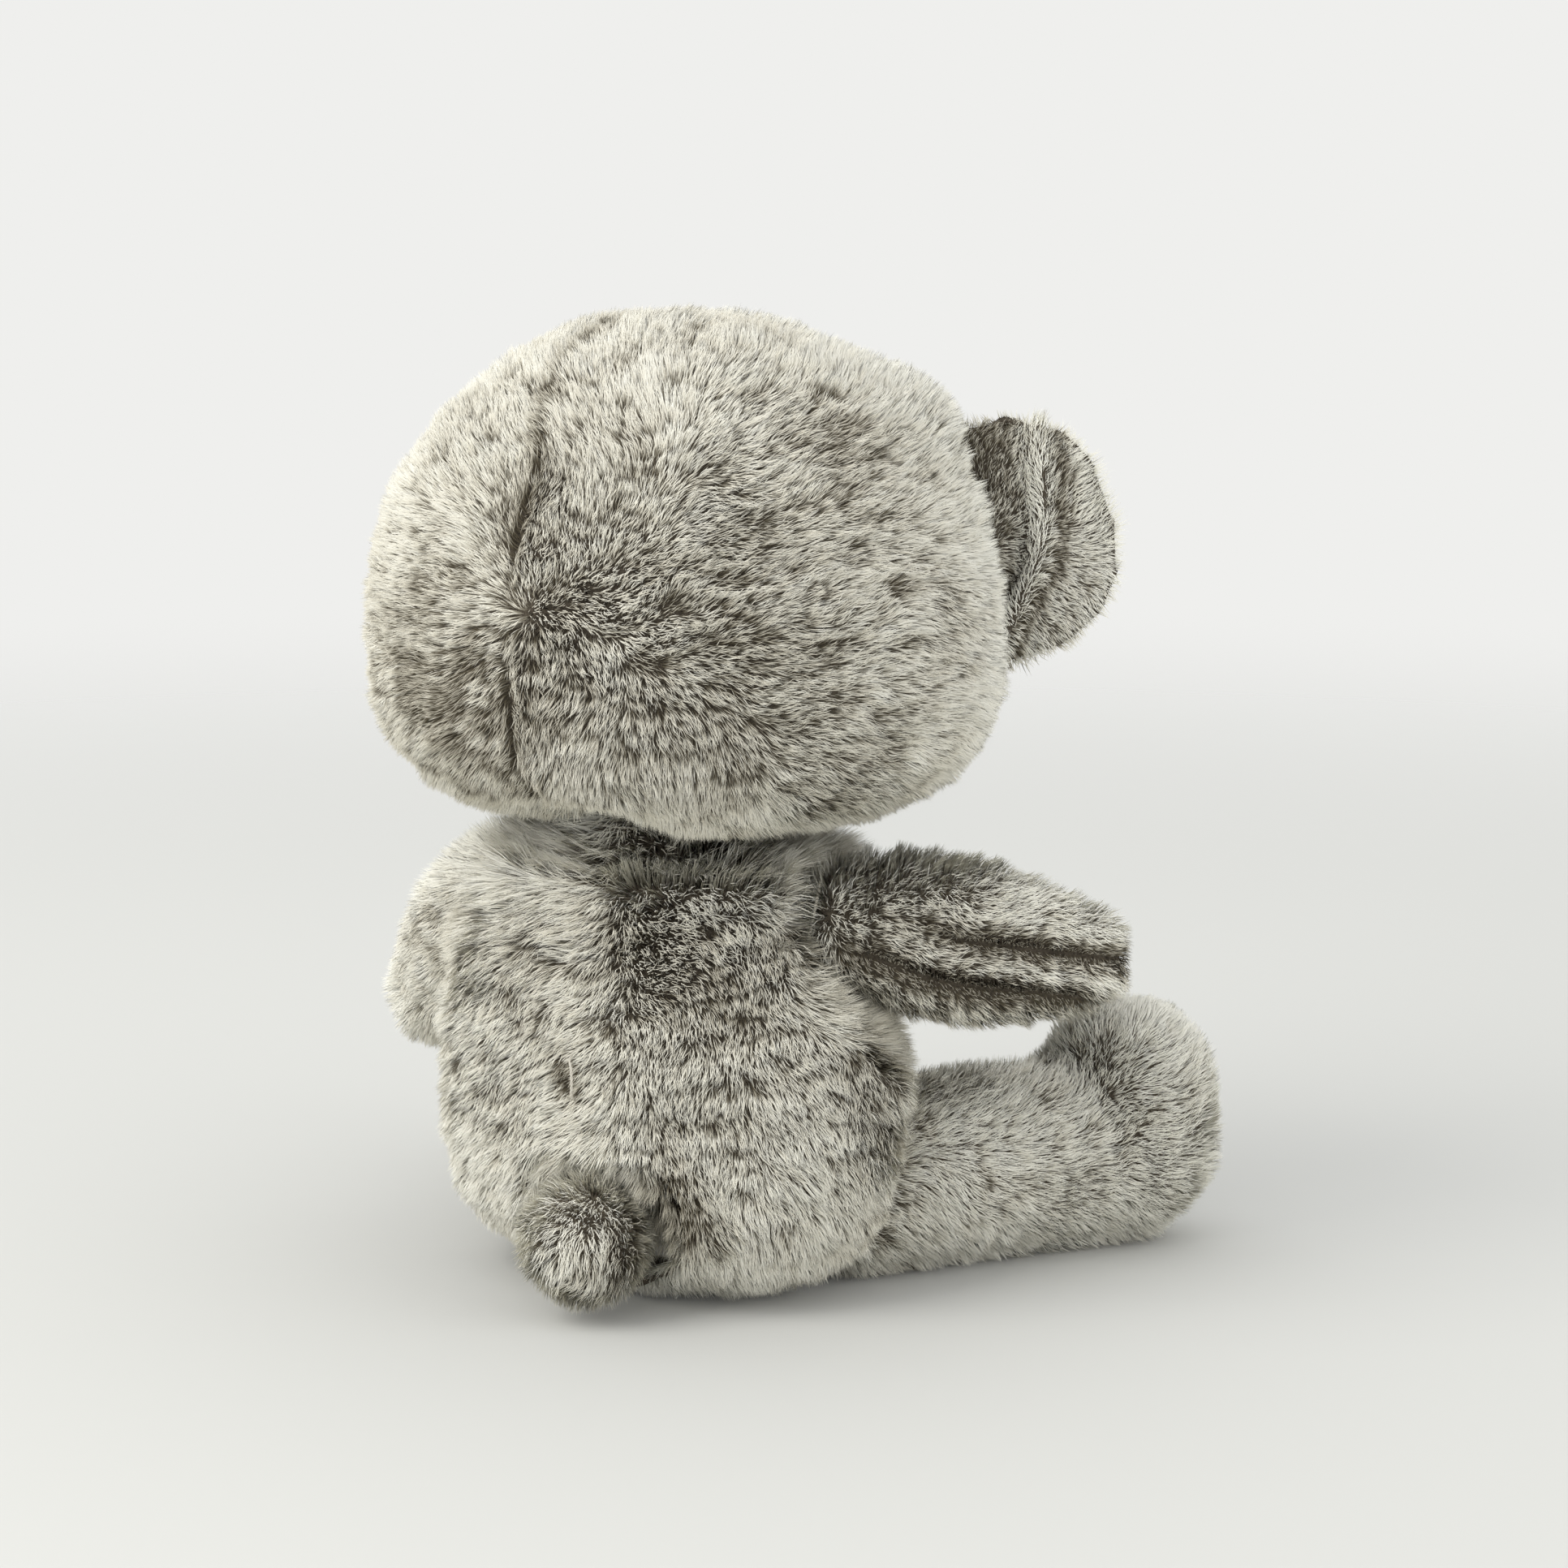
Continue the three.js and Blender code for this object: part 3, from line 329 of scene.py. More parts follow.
def stuffed(name, nodes, inset, voxel=3.0 * MM, relax=6, lumps=0):
    """A smooth closed soft form in the space of some CAD nodes, set in from their surface. Where it sits on
    the ground, it is pressed flat."""
    piece = copied(name, nodes)
    applied(piece, "REMESH", mode="VOXEL", voxel_size=voxel)
    piece = outermost(piece)
    piece.name = piece.data.name = name
    applied(piece, "SMOOTH", factor=0.5, iterations=relax)
    applied(piece, "DISPLACE", direction="NORMAL", strength=-inset, mid_level=0)
    applied(piece, "SMOOTH", factor=0.5, iterations=3)
    points = points_of(piece.data)
    if lumps:
        uneven = mottled(points, 45 * MM, 22 * MM, 61, 0.5)
        points += normals_of(piece.data) * (lumps * uneven)[:, None]
    low = points[:, 2] < inset + 4 * MM
    pressed = GROUND_CLEARANCE + (points[:, 2] - inset) * (1 + (inset - GROUND_CLEARANCE) / (4 * MM))
    points[low, 2] = np.maximum(pressed[low], GROUND_CLEARANCE)
    reshape(piece, points)
    only(piece)
    bpy.ops.object.shade_smooth()
    return piece


# ---- pile


def sown(skin, count, rng):
    """Places spread evenly over a skin, with the way out of it at each."""
    mesh = skin.data
    mesh.calc_loop_triangles()
    corners = np.empty(len(mesh.loop_triangles) * 3, np.int32)
    mesh.loop_triangles.foreach_get("vertices", corners)
    corners = corners.reshape(-1, 3)
    points, normals = points_of(mesh), normals_of(mesh)
    a, b, c = (points[corners[:, k]] for k in range(3))
    areas = np.linalg.norm(np.cross(b - a, c - a), axis=1) / 2
    edges = np.cumsum(areas)
    picks = np.searchsorted(edges, (np.arange(count) + rng.random(count)) / count * edges[-1])
    picks = np.clip(picks, 0, len(areas) - 1)
    r, s = np.sqrt(rng.random(count)), rng.random(count)
    shares = np.stack([1 - r, r * (1 - s), r * s], axis=1)[:, :, None]
    place = (points[corners[picks]] * shares).sum(axis=1)
    out = unit((normals[corners[picks]] * shares).sum(axis=1))
    return place, out


def area_of(skin):
    return sum(p.area for p in skin.data.polygons)


def clear_of(place, heading, length, others):
    """Shortens the strands that would reach into another part's skin."""
    for tree, low, high in others:
        reach = length.max()
        close = ((place > low - reach) & (place < high + reach)).all(axis=1)
        for i in np.nonzero(close & (length > 0))[0]:
            spot, normal, _, gap = tree.ray_cast(Vector(place[i]), Vector(heading[i]))
            if spot is None:
                continue
            if normal.dot(Vector(heading[i])) > 0:
                length[i] = 0
            else:
                length[i] = min(length[i], gap)
    return length


def hollow_of(place, out, whole):
    """How far each place lies below the backing's own depth in a filled-out form, and the way out there."""
    depth, away = np.zeros(len(place)), out.copy()
    usual = SKIN_INSET + 1 * MM
    for i, point in enumerate(place):
        spot, normal, _, gap = whole.find_nearest(Vector(point))
        if gap > usual and (spot - Vector(point)).dot(normal) > 0:
            depth[i] = gap - usual
            away[i] = normal
    share = ease(depth, 0, DEEP_HOLLOW)[:, None]
    return depth, share, unit(out * (1 - share) + away * share)


def blades(name, root, elbow, tip, side, out, width, tone):
    """A mesh of tapered strands, each of two faces, with their own map from root to tip."""
    count = len(root)
    half = side * width[:, None] / 2
    points = np.stack(
        [root - half, root + half, elbow - half * 0.9, elbow + half * 0.9, tip], axis=1
    ).reshape(-1, 3)
    points[:, 2] = np.maximum(points[:, 2], GROUND_CLEARANCE)
    first = np.arange(count)[:, None] * 5
    loops = (first + np.array([0, 1, 3, 2, 2, 3, 4])).ravel()
    starts = (np.arange(count)[:, None] * 7 + np.array([0, 4])).ravel()
    mesh = bpy.data.meshes.new(name)
    mesh.vertices.add(count * 5)
    mesh.vertices.foreach_set("co", points.astype(np.float32).ravel())
    mesh.loops.add(count * 7)
    mesh.loops.foreach_set("vertex_index", loops.astype(np.int32))
    mesh.polygons.add(count * 2)
    mesh.polygons.foreach_set("loop_start", starts.astype(np.int32))
    mesh.update(calc_edges=True)
    along = np.tile(np.array([UV_LOW] * 2 + [UV_ELBOW] * 4 + [UV_HIGH]), count)
    across = np.repeat(np.clip(tone, UV_LOW, UV_HIGH), 7)
    face = np.cross(unit(tip - root), side)
    face *= np.sign((face * out).sum(axis=1, keepdims=True) + 1e-9)
    facing = unit(0.9 * out + 0.22 * face)
    rounded = [unit(facing + k * side) for k in (-0.25, 0.25, -0.25, 0.25, 0)]
    turned = mesh.attributes.new("custom_normal", "FLOAT_VECTOR", "POINT")
    turned.data.foreach_set("vector", np.stack(rounded, axis=1).astype(np.float32).ravel())
    uv = mesh.uv_layers.new(name="OFBake")
    uv.data.foreach_set("uv", np.stack([along, across], axis=1).astype(np.float32).ravel())
    mesh.polygons.foreach_set("use_smooth", np.ones(count * 2, bool))
    mesh.update()
    piece = bpy.data.objects.new(name, mesh)
    bpy.context.scene.collection.objects.link(piece)
    return piece


def grown(part, skin, look, grain, seed, others=(), whole=None):
    """Covers the skin of a part with pile in tufts and in rows across the grain, clear of the others. look
    gives the way the nap lies, length, tone and lean. whole is the filled-out form that longer pile in a
    hollow grows up to."""
    rng = np.random.default_rng(seed)
    count = int(area_of(skin) * PILE_PER_AREA)
    place, out = sown(skin, count, rng)
    nap, length, tone, lean = look(place, out)
    keep = length > 0.5 * MM
    place, out, nap, length, tone, lean = (x[keep] for x in (place, out, nap, length, tone, lean))
    extra, share = np.zeros(len(place)), np.zeros((len(place), 1))
    if whole:
        extra, share, out = hollow_of(place, out, whole)
        kept_open = sum(strength * near(place, middle, reach) for strength, middle, reach in UNFILLED)
        extra *= np.maximum(1 - kept_open, 0)
        lean = lean * (1 - 0.6 * share[:, 0])

    def level(vectors):
        return vectors - (vectors * out).sum(axis=1, keepdims=True) * out

    flat = unit(level(nap))
    turn = 0.9 * waves(place, 30 * MM, seed + 1) + 0.5 * waves(place, 9 * MM, seed + 2)
    turn += rng.normal(0, 0.24, len(place)) + 0.9 * share[:, 0] * waves(place, 6 * MM, seed + 8)
    across = np.cross(out, flat)
    flat = flat * np.cos(turn)[:, None] + across * np.sin(turn)[:, None]
    across = np.cross(out, flat)
    grain = np.array(grain)
    way, cell = tufts(place + level(wobble(place, seed)), TUFT_SIZE, seed + 3)
    way = level(way)
    own = lattice(cell, seed + 9)
    aside = (way * across).sum(axis=1)
    row = (place @ grain) / ROW_SPACING + 0.35 * own
    row += 2.1 * waves(place, 26 * MM, seed + 20) + 1.0 * waves(place, 9 * MM, seed + 21)
    behind = np.where((flat * grain).sum(axis=1) > 0, np.ceil(row) - row, row - np.floor(row))
    gather = 0.6 * (behind * ROW_SPACING)[:, None] * flat + 0.42 * aside[:, None] * across
    gather += 0.25 * (way - aside[:, None] * across)
    apart = np.linalg.norm(way, axis=1) / TUFT_SIZE

    def swelling(points):
        squeezed = points + grain * (points @ grain)[:, None] * 1.5
        return 0.85 * waves(squeezed, 11 * MM, seed + 4) + 0.35 * waves(points, 6 * MM, seed + 5)

    swell, step = swelling(place), 0.7 * MM
    slope = sum(
        ((swelling(place + step * ahead) - swell) / step)[:, None] * ahead for ahead in (flat, across)
    )
    gather += slope * 5 * MM * MM
    parted, spot = tufts(place + grain * (place @ grain)[:, None] * 0.8, PARTING_SPACING, seed + 6)
    parted = level(parted)
    off = np.linalg.norm(parted, axis=1)
    hole = hump(off, PARTING_RADIUS) * ease(lattice(spot, seed + 7), 0.3, 0.6) * ease(-swell, -0.2, 0.4)
    gather -= unit(parted) * (PARTING_PUSH * hole)[:, None]
    gather *= 1 + 1.2 * share

    bulge = unit(out - 0.6 * way / TUFT_SIZE - slope * 1.4 * MM + 0.7 * (0.5 - behind)[:, None] * flat)
    length = length * (0.88 + 0.16 * own + 0.22 * swell + rng.normal(0, 0.05, len(place))) * (1 - 0.35 * hole)
    length += extra
    lean = lean - 0.28 * swell + 0.25 * (lattice(cell, seed + 10) - 0.5)
    lean = np.clip(lean + rng.normal(0, 0.08, len(place)), 0.02, 1.3)
    # Each tuft's own random tone and the partings down to the dark roots are the pile's colour. The rest is
    # painted shade and light on its relief: darker in troughs, at the back of each row, away from the middle
    # of a tuft and on long strands in hollows, paler on swells.
    tone = tone + 0.04 - 0.3 * swell + 0.35 * hole + 0.3 * (own - 0.5)
    tone += 0.36 * (behind - 0.5) + 0.5 * (apart - 0.42)
    tone = 1 - (1 - tone) * PILE_LENGTH / (PILE_LENGTH + 0.3 * extra)
    straight = out * np.cos(lean)[:, None] + flat * np.sin(lean)[:, None]
    length = clear_of(place, straight, length, others)
    keep = length > SHORTEST_STRAND
    place, out, flat, gather, straight, bulge, length, tone, lean = (
        x[keep] for x in (place, out, flat, gather, straight, bulge, length, tone, lean)
    )
    length, lean = length[:, None], lean[:, None]
    root = place - out * ROOT_DEPTH
    gather *= np.minimum(1, length / FULL_GATHER)
    tip = place + straight * length + gather
    tip += rng.normal(0, TIP_SCATTER, tip.shape)
    half_lean = 0.55 * lean
    elbow = place + (out * np.cos(half_lean) + flat * np.sin(half_lean)) * length * 0.52 + gather * 0.4
    axis = unit(tip - root)
    side = unit(np.cross(axis, out) + rng.normal(0, 0.05, axis.shape))
    twist = rng.normal(0, 0.4, len(side))[:, None]
    side = unit(side * np.cos(twist) + np.cross(axis, side) * np.sin(twist))
    width = STRAND_WIDTH * rng.uniform(0.75, 1.2, len(side))
    tone = tone + rng.normal(0, 0.07, len(tone))
    pieces = []
    order = np.argsort(place[:, 2], kind="stable")
    groups = math.ceil(len(order) / PILE_PIECE_STRANDS)
    for number, rows in enumerate(np.array_split(order, groups), 1):
        name = f"{part}_pile" if groups == 1 else f"{part}_pile_{number}"
        piece = blades(name, *(x[rows] for x in (root, elbow, tip, side, bulge, width, tone)))
        piece.data.materials.append(MATERIALS["pile"])
        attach(piece, part)
        pieces.append(piece)
    return pieces


# ---- buttons and thread


def pick(piece, wanted):
    """In edit mode, selects just the faces that are wanted by their middle and normal."""
    bpy.ops.mesh.select_mode(type="FACE")
    bpy.ops.object.mode_set(mode="OBJECT")
    for face in piece.data.polygons:
        face.select = wanted(face.center, face.normal)
    bpy.ops.object.mode_set(mode="EDIT")


def button(name, place, outward, half_width, half_height, dome, shank, taper=0):
    """A domed button: half a ball pressed to its size, with a hollow back and a shank."""
    bpy.ops.object.select_all(action="DESELECT")
    bpy.ops.mesh.primitive_uv_sphere_add(segments=48, ring_count=24, radius=half_width)
    piece = bpy.context.object
    piece.name = piece.data.name = name
    bpy.ops.object.mode_set(mode="EDIT")
    bpy.ops.mesh.select_all(action="SELECT")
    bpy.ops.mesh.bisect(plane_co=(0, 0, 0), plane_no=(0, 0, 1), use_fill=True, clear_inner=True)
    bpy.ops.mesh.select_all(action="SELECT")
    pressed = (1, half_height / half_width, dome / half_width)
    bpy.ops.transform.resize(value=pressed, center_override=(0, 0, 0))
    pick(piece, lambda middle, normal: normal.z < -0.9)
    bpy.ops.mesh.inset(thickness=0.8 * MM)
    bpy.ops.transform.translate(value=(0, 0, 0.7 * MM))
    bpy.ops.mesh.inset(thickness=half_height - SHANK_RADIUS - 0.8 * MM)
    bpy.ops.transform.resize(value=(half_height / half_width, 1, 1), center_override=(0, 0, 0))
    bpy.ops.mesh.extrude_region_move(TRANSFORM_OT_translate={"value": (0, 0, -shank)})
    bpy.ops.mesh.select_all(action="SELECT")
    bpy.ops.mesh.normals_make_consistent(inside=False)
    bpy.ops.object.mode_set(mode="OBJECT")
    if taper:
        applied(piece, "SIMPLE_DEFORM", deform_method="TAPER", deform_axis="Y", factor=taper)
    applied(piece, "BEVEL", width=0.35 * MM, segments=3, limit_method="ANGLE", angle_limit=math.radians(50))
    only(piece)
    bpy.ops.object.shade_smooth()
    piece.rotation_mode = "QUATERNION"
    piece.rotation_quaternion = Vector(outward).to_track_quat("Z", "Y")
    piece.location = place - outward * BUTTON_SUNK
    bpy.ops.object.transform_apply(location=True, rotation=True, scale=True)
    return piece


def spun_thread(name, paths, radius):
    """Thread of two plies turned about each other, along each path."""
    curve = bpy.data.curves.new(name, "CURVE")
    curve.dimensions = "3D"
    curve.bevel_depth = radius * 0.62
    curve.bevel_resolution = 2
    curve.use_fill_caps = True
    for path in paths:
        path = np.array(path)
        gaps = np.linalg.norm(np.diff(path, axis=0), axis=1)
        along = np.concatenate([[0], np.cumsum(gaps)])
        steps = np.linspace(0, along[-1], int(along[-1] / (0.9 * radius)))
        points = np.stack([np.interp(steps, along, path[:, k]) for k in range(3)], axis=1)
        ahead = unit(np.gradient(points, axis=0))
        first = unit(np.cross(ahead, np.array([0.2, 1, 0.1])))
        second = np.cross(ahead, first)
        for ply in (0, math.pi):
            angle = (steps / (7 * radius) * 2 * math.pi + ply)[:, None]
            turned = points + 0.5 * radius * (np.cos(angle) * first + np.sin(angle) * second)
            spline = curve.splines.new("POLY")
            spline.points.add(len(turned) - 1)
            spline.points.foreach_set("co", np.column_stack([turned, np.ones(len(turned))]).ravel())
    piece = bpy.data.objects.new(name, curve)
    bpy.context.scene.collection.objects.link(piece)
    only(piece)
    bpy.ops.object.convert(target="MESH")
    bpy.ops.object.shade_smooth()
    return piece


def rounded(corners, steps=24):
    """A smooth path through some points."""
    corners = np.array(corners)
    at = np.arange(len(corners))
    fine = np.linspace(0, at[-1], steps)
    path = np.stack([np.interp(fine, at, corners[:, k]) for k in range(3)], axis=1)
    for _ in range(3):
        path[1:-1] = (path[:-2] + 2 * path[1:-1] + path[2:]) / 4
    return path


def muzzle_point(turn, height):
    """A point of the mouth on the muzzle, at a turn from straight ahead and a height from its middle."""
    half = MUZZLE_HALF + MOUTH_PROUD
    width = math.sqrt(max(0, 1 - (height / half[2]) ** 2))
    return MUZZLE_MIDDLE + [half[0] * width * math.sin(turn), -half[1] * width * math.cos(turn), height]


# ---- materials


def material(name, roughness, **plain):
    made = bpy.data.materials.new(name)
    made.use_nodes = True
    shader = made.node_tree.nodes["Principled BSDF"]
    shader.inputs["Roughness"].default_value = roughness
    for socket, value in plain.items():
        shader.inputs[socket.replace("_", " ")].default_value = value
    return made, made.node_tree, shader


def node(tree, kind, inputs=(), **settings):
    made = tree.nodes.new(kind)
    for key, value in settings.items():
        setattr(made, key, value)
    for socket, value in dict(inputs).items():
        if isinstance(value, bpy.types.NodeSocket):
            tree.links.new(value, made.inputs[socket])
        else:
            made.inputs[socket].default_value = value
    return made


def srgb(red, green, blue):
    """A colour as it is seen on a screen, from 0 to 255, in the shader's own numbers."""
    def one(c):
        c /= 255
        return c / 12.92 if c <= 0.04045 else ((c + 0.055) / 1.055) ** 2.4
    return (one(red), one(green), one(blue), 1)


def mixed(tree, share, low, high):
    """A colour between two others."""
    return node(tree, "ShaderNodeMix", {0: share, 6: low, 7: high}, data_type="RGBA").outputs[2]


def noise(tree, place, scale, **settings):
    return node(tree, "ShaderNodeTexNoise", {"Vector": place, "Scale": scale, **settings}).outputs[0]


def object_place(tree):
    return node(tree, "ShaderNodeTexCoord").outputs["Object"]


def fibre_group():
    """Fine soft fibres: a mask and a height that change over the surface."""
    group = bpy.data.node_groups.new("fibres", "ShaderNodeTree")
    for name, kind, way in (
        ("Vector", "NodeSocketVector", "INPUT"),
        ("Scale", "NodeSocketFloat", "INPUT"),
        ("Mask", "NodeSocketFloat", "OUTPUT"),
        ("Height", "NodeSocketFloat", "OUTPUT"),
    ):
        group.interface.new_socket(name=name, in_out=way, socket_type=kind)
    start = group.nodes.new("NodeGroupInput")
    place, scale = start.outputs["Vector"], start.outputs["Scale"]
    coarse = noise(group, place, scale, Detail=5, Roughness=0.6)
    finer = node(group, "ShaderNodeMath", {0: scale, 1: 4.0}, operation="MULTIPLY").outputs[0]
    streaks = noise(group, place, finer, Detail=3, Distortion=1.5)
    both = node(group, "ShaderNodeMath", {0: coarse, 1: streaks}, operation="MULTIPLY").outputs[0]
    end = group.nodes.new("NodeGroupOutput")
    group.links.new(coarse, end.inputs["Mask"])
    group.links.new(both, end.inputs["Height"])
    return group


def fibrous(name, dark, pale, scale, bump, roughness):
    """A soft fibrous finish between two colours."""
    made, tree, shader = material(name, roughness)
    fibres = node(
        tree, "ShaderNodeGroup", {"Vector": object_place(tree), "Scale": scale}, node_tree=FIBRES
    ).outputs
    ramp = node(tree, "ShaderNodeMapRange", {"Value": fibres["Mask"], "From Min": 0.3, "From Max": 0.7})
    colour = mixed(tree, ramp.outputs[0], srgb(*dark), srgb(*pale))
    tree.links.new(colour, shader.inputs["Base Color"])
    height = {"Height": fibres["Height"], "Strength": bump, "Distance": 1 * MM}
    tree.links.new(node(tree, "ShaderNodeBump", height).outputs[0], shader.inputs["Normal"])
    return made


def pile_material():
    """Dark at the root and pale at the tip. Darker tones stay dark for more of their length."""
    made, tree, shader = material("plush_pile", 0.8, Specular_IOR_Level=0.25)
    where = node(tree, "ShaderNodeUVMap", uv_map="OFBake").outputs[0]
    parts = node(tree, "ShaderNodeSeparateXYZ", {0: where}).outputs
    along, tone = parts[0], parts[1]
    start = node(tree, "ShaderNodeMath", {0: tone, 1: 0.62, 2: -0.08}, operation="MULTIPLY_ADD").outputs[0]
    end = node(tree, "ShaderNodeMath", {0: start, 1: 0.42}, operation="ADD").outputs[0]
    paling = {"Value": along, "From Min": start, "From Max": end}
    rise = node(tree, "ShaderNodeMapRange", paling, interpolation_type="SMOOTHSTEP").outputs[0]
    roots = mixed(tree, tone, srgb(*PALE_ROOT), srgb(*DARK_ROOT))
    tips = mixed(tree, tone, srgb(*PALE_TIP), srgb(*DARK_TIP))
    tree.links.new(mixed(tree, rise, roots, tips), shader.inputs["Base Color"])
    return made


def plastic(name, dark, pale, roughness, coat):
    """A moulded plastic, slightly cloudy between two colours."""
    made, tree, shader = material(name, roughness, Coat_Weight=coat, Coat_Roughness=0.05)
    cloud = noise(tree, object_place(tree), 260, Detail=4)
    tree.links.new(mixed(tree, cloud, srgb(*dark), srgb(*pale)), shader.inputs["Base Color"])
    uneven = {"Value": cloud, "To Min": roughness * 0.8, "To Max": roughness * 1.3}
    tree.links.new(node(tree, "ShaderNodeMapRange", uneven).outputs[0], shader.inputs["Roughness"])
    return made


def woven(name, dark, pale):
    """A plain weave between two colours."""
    made, tree, shader = material(name, 0.9)
    threads = {"Vector": object_place(tree), "Scale": 420, "Distortion": 0.4}
    warp, weft = (
        node(tree, "ShaderNodeTexWave", threads, bands_direction=way).outputs[1] for way in ("X", "Z")
    )
    both = node(tree, "ShaderNodeMath", {0: warp, 1: weft}, operation="MULTIPLY").outputs[0]
    tree.links.new(mixed(tree, both, srgb(*dark), srgb(*pale)), shader.inputs["Base Color"])
    height = {"Height": both, "Strength": 0.5, "Distance": 0.4 * MM}
    tree.links.new(node(tree, "ShaderNodeBump", height).outputs[0], shader.inputs["Normal"])
    return made


FIBRES = fibre_group()
MATERIALS = {
    "pile": pile_material(),
    # The backing is coloured dark brown like shaded roots, so that where the pile is thin or cut away it
    # shows as painted shade.
    "backing": fibrous("backing_dark_as_painted_shade", (62, 55, 45), (104, 95, 81), 900, 0.6, 0.95),
    "wadding": fibrous("polyester_wadding", (222, 220, 214), (250, 249, 246), 240, 0.8, 0.95),
    "thread": fibrous("pale_sewing_thread", (196, 190, 176), (232, 227, 214), 1500, 0.5, 0.75),
    "black_thread": fibrous("black_embroidery_thread", (24, 21, 20), (58, 52, 49), 1500, 0.6, 0.6),
    "eye": plastic("eye_plastic", (12, 9, 8), (30, 23, 19), 0.12, 1.0),
    "nose": plastic("nose_plastic", (22, 18, 17), (40, 34, 31), 0.32, 0.4),
    "washer": plastic("washer_nylon", (224, 224, 218), (240, 240, 235), 0.45, 0.0),
    "pouch": woven("pellet_pouch_cloth", (186, 178, 160), (232, 226, 212)),
}


# ---- how the pile lies on each part


def head_seam(points):
    """How far a point lies from the seam down the back of the head."""
    aside = np.abs(points[:, 0] - 14 * MM * ease(points[:, 2], 280 * MM, 330 * MM))
    return np.where(points[:, 1] > FACE_SEAM_Y, aside, 1)


def muzzle_share(points):
    """1 on the muzzle and 0 away from it."""
    return np.clip(patch(points, *MUZZLE_PATCH), 0, 1)


def head_look(place, out):
    x = place[:, 0]
    side = np.where(x >= 0, 1.0, -1.0)
    seam = hump(head_seam(place), SEAM_WIDTH)
    front = ease(-place[:, 1] + 9 * MM * waves(place, 24 * MM, 73), 45 * MM, 92 * MM)
    crown = ease(place[:, 2], 255 * MM, 320 * MM)
    nap = unit(place - HEAD_WHORL) + np.stack([side * 0.9 * seam, np.zeros(len(x)), 0.3 * crown], axis=1)
    nap = nap * (1 - front)[:, None] + front[:, None] * unit(place - FACE_WHORL)
    length = np.full(len(x), PILE_LENGTH)
    muzzle = muzzle_share(place)
    length *= 1 - 0.5 * muzzle
    for eye in EYES.values():
        gap = np.linalg.norm(place - eye, axis=1)
        length *= 0.12 + 0.88 * ease(gap, 9 * MM, 20 * MM)
        length[gap < 8.5 * MM] = 0
    gap = np.linalg.norm((place - NOSE) / [1.35, 1, 1], axis=1)
    length *= 0.15 + 0.85 * ease(gap, 9 * MM, 16 * MM)
    length[gap < 8 * MM] = 0
    # Painted light on the top of the head: the crown is paler and less mottled.
    tone = 0.48 + 0.22 * mottled(place, 42 * MM, 17 * MM, 71) * (1 - 0.4 * crown) - 0.1 * crown
    tone += seam * (0.1 + 0.5 * ease(place[:, 2], 235 * MM, 290 * MM))
    spots = 0.4 + 0.8 * ease(waves(place, 8 * MM, 74), -0.3, 0.5)
    tone += spots * patch(place, *HEAD_SPOTTED) + sum(patch(place, *row) for row in HEAD_PATCHES)
    tone -= 0.3 * muzzle + 0.12 * front
    # Painted light: paler pile toward the front of the head and on its sides behind the face, which lifts the
    # shade there.
    forward = ease(-place[:, 1], -30 * MM, 30 * MM)
    hidden = ease(-place[:, 1], 0, 45 * MM) * (1 - front)
    tone -= 0.14 * forward + 0.3 * hidden
    lean = 0.48 + 0.2 * seam - 0.15 * muzzle - 0.12 * forward * (1 - front) - 0.3 * hidden
    return nap, length, tone, lean


def torso_look(place, out):
    x, z = place[:, 0], place[:, 2]
    side = np.clip(x / (22 * MM), -1, 1)
    seam = hump(x, 6 * MM)
    neck = ease(z, 105 * MM, 145 * MM)
    nap = np.stack([side * (0.4 + 0.5 * neck), np.zeros(len(x)), 0.5 * neck - 1], axis=1)
    # Painted light and shade: paler on the bear's left side, which faces the lamp; darker just below the
    # neck, in the head's shade, and paler right up under the head, which lifts that shade.
    tone = 0.35 + 0.22 * mottled(place, 38 * MM, 16 * MM, 81) - 0.12 * ease(x, 15 * MM, 60 * MM)
    tone += 0.12 * ease(z, 105 * MM, 120 * MM) - 0.3 * ease(z, 122 * MM, 145 * MM)
    tone -= 0.2 * ease(30 * MM - z, 0, 30 * MM)
    tone += sum(patch(place, *row) for row in BACK_PATCHES)
    length = PILE_LENGTH * (1 + 0.9 * neck)
    lean = np.full(len(x), 0.48) + 0.1 * seam - 0.2 * neck
    # Painted shade in the gaping seam: the pile there is darker, as well as shorter.
    slit = near(place, OPENING, OPENING_REACH)
    tone += 1.2 * slit
    length *= 1 - 0.75 * slit
    for arm in ("left", "right"):
        away = place - SHOULDER[arm]
        t = away @ ARM_ALONG[arm]
        aside = away - t[:, None] * ARM_ALONG[arm]
        gap = np.linalg.norm(aside, axis=1)
        share = (1 - ease(gap, 34 * MM, 52 * MM)) * ease(t, -30 * MM, -5 * MM)
        nap = nap * (1 - share)[:, None] + (ARM_ALONG[arm] - unit(aside)) * share[:, None]
        length *= 1 + 0.35 * share
        lean += 0.25 * share
        # Painted shade: darker pile round the roots of the arms.
        tone += 0.12 * share
    return nap, length, tone, lean


def arm_grooves(side):
    """For points on an arm: the height above each of the two grooves behind it, how deep each groove is
    there, and the distance past the shoulder."""
    along, rise = ARM_ALONG[side], ARM_RISE[side]

    def measure(points):
        away = points - SHOULDER[side]
        t, height = away @ along, away @ rise
        back = ARM_GROOVE_DEPTH[side] * ease(away @ ARM_BEHIND[side], -2 * MM, 6 * MM)
        bend = 8 * MM * (1 - ease(t, -15 * MM, 40 * MM))
        above = [height - place - bend for place in ARM_GROOVES]
        share = [back * ease(t, start, start + 25 * MM) for start in ARM_GROOVE_STARTS]
        return above, share, t

    return measure


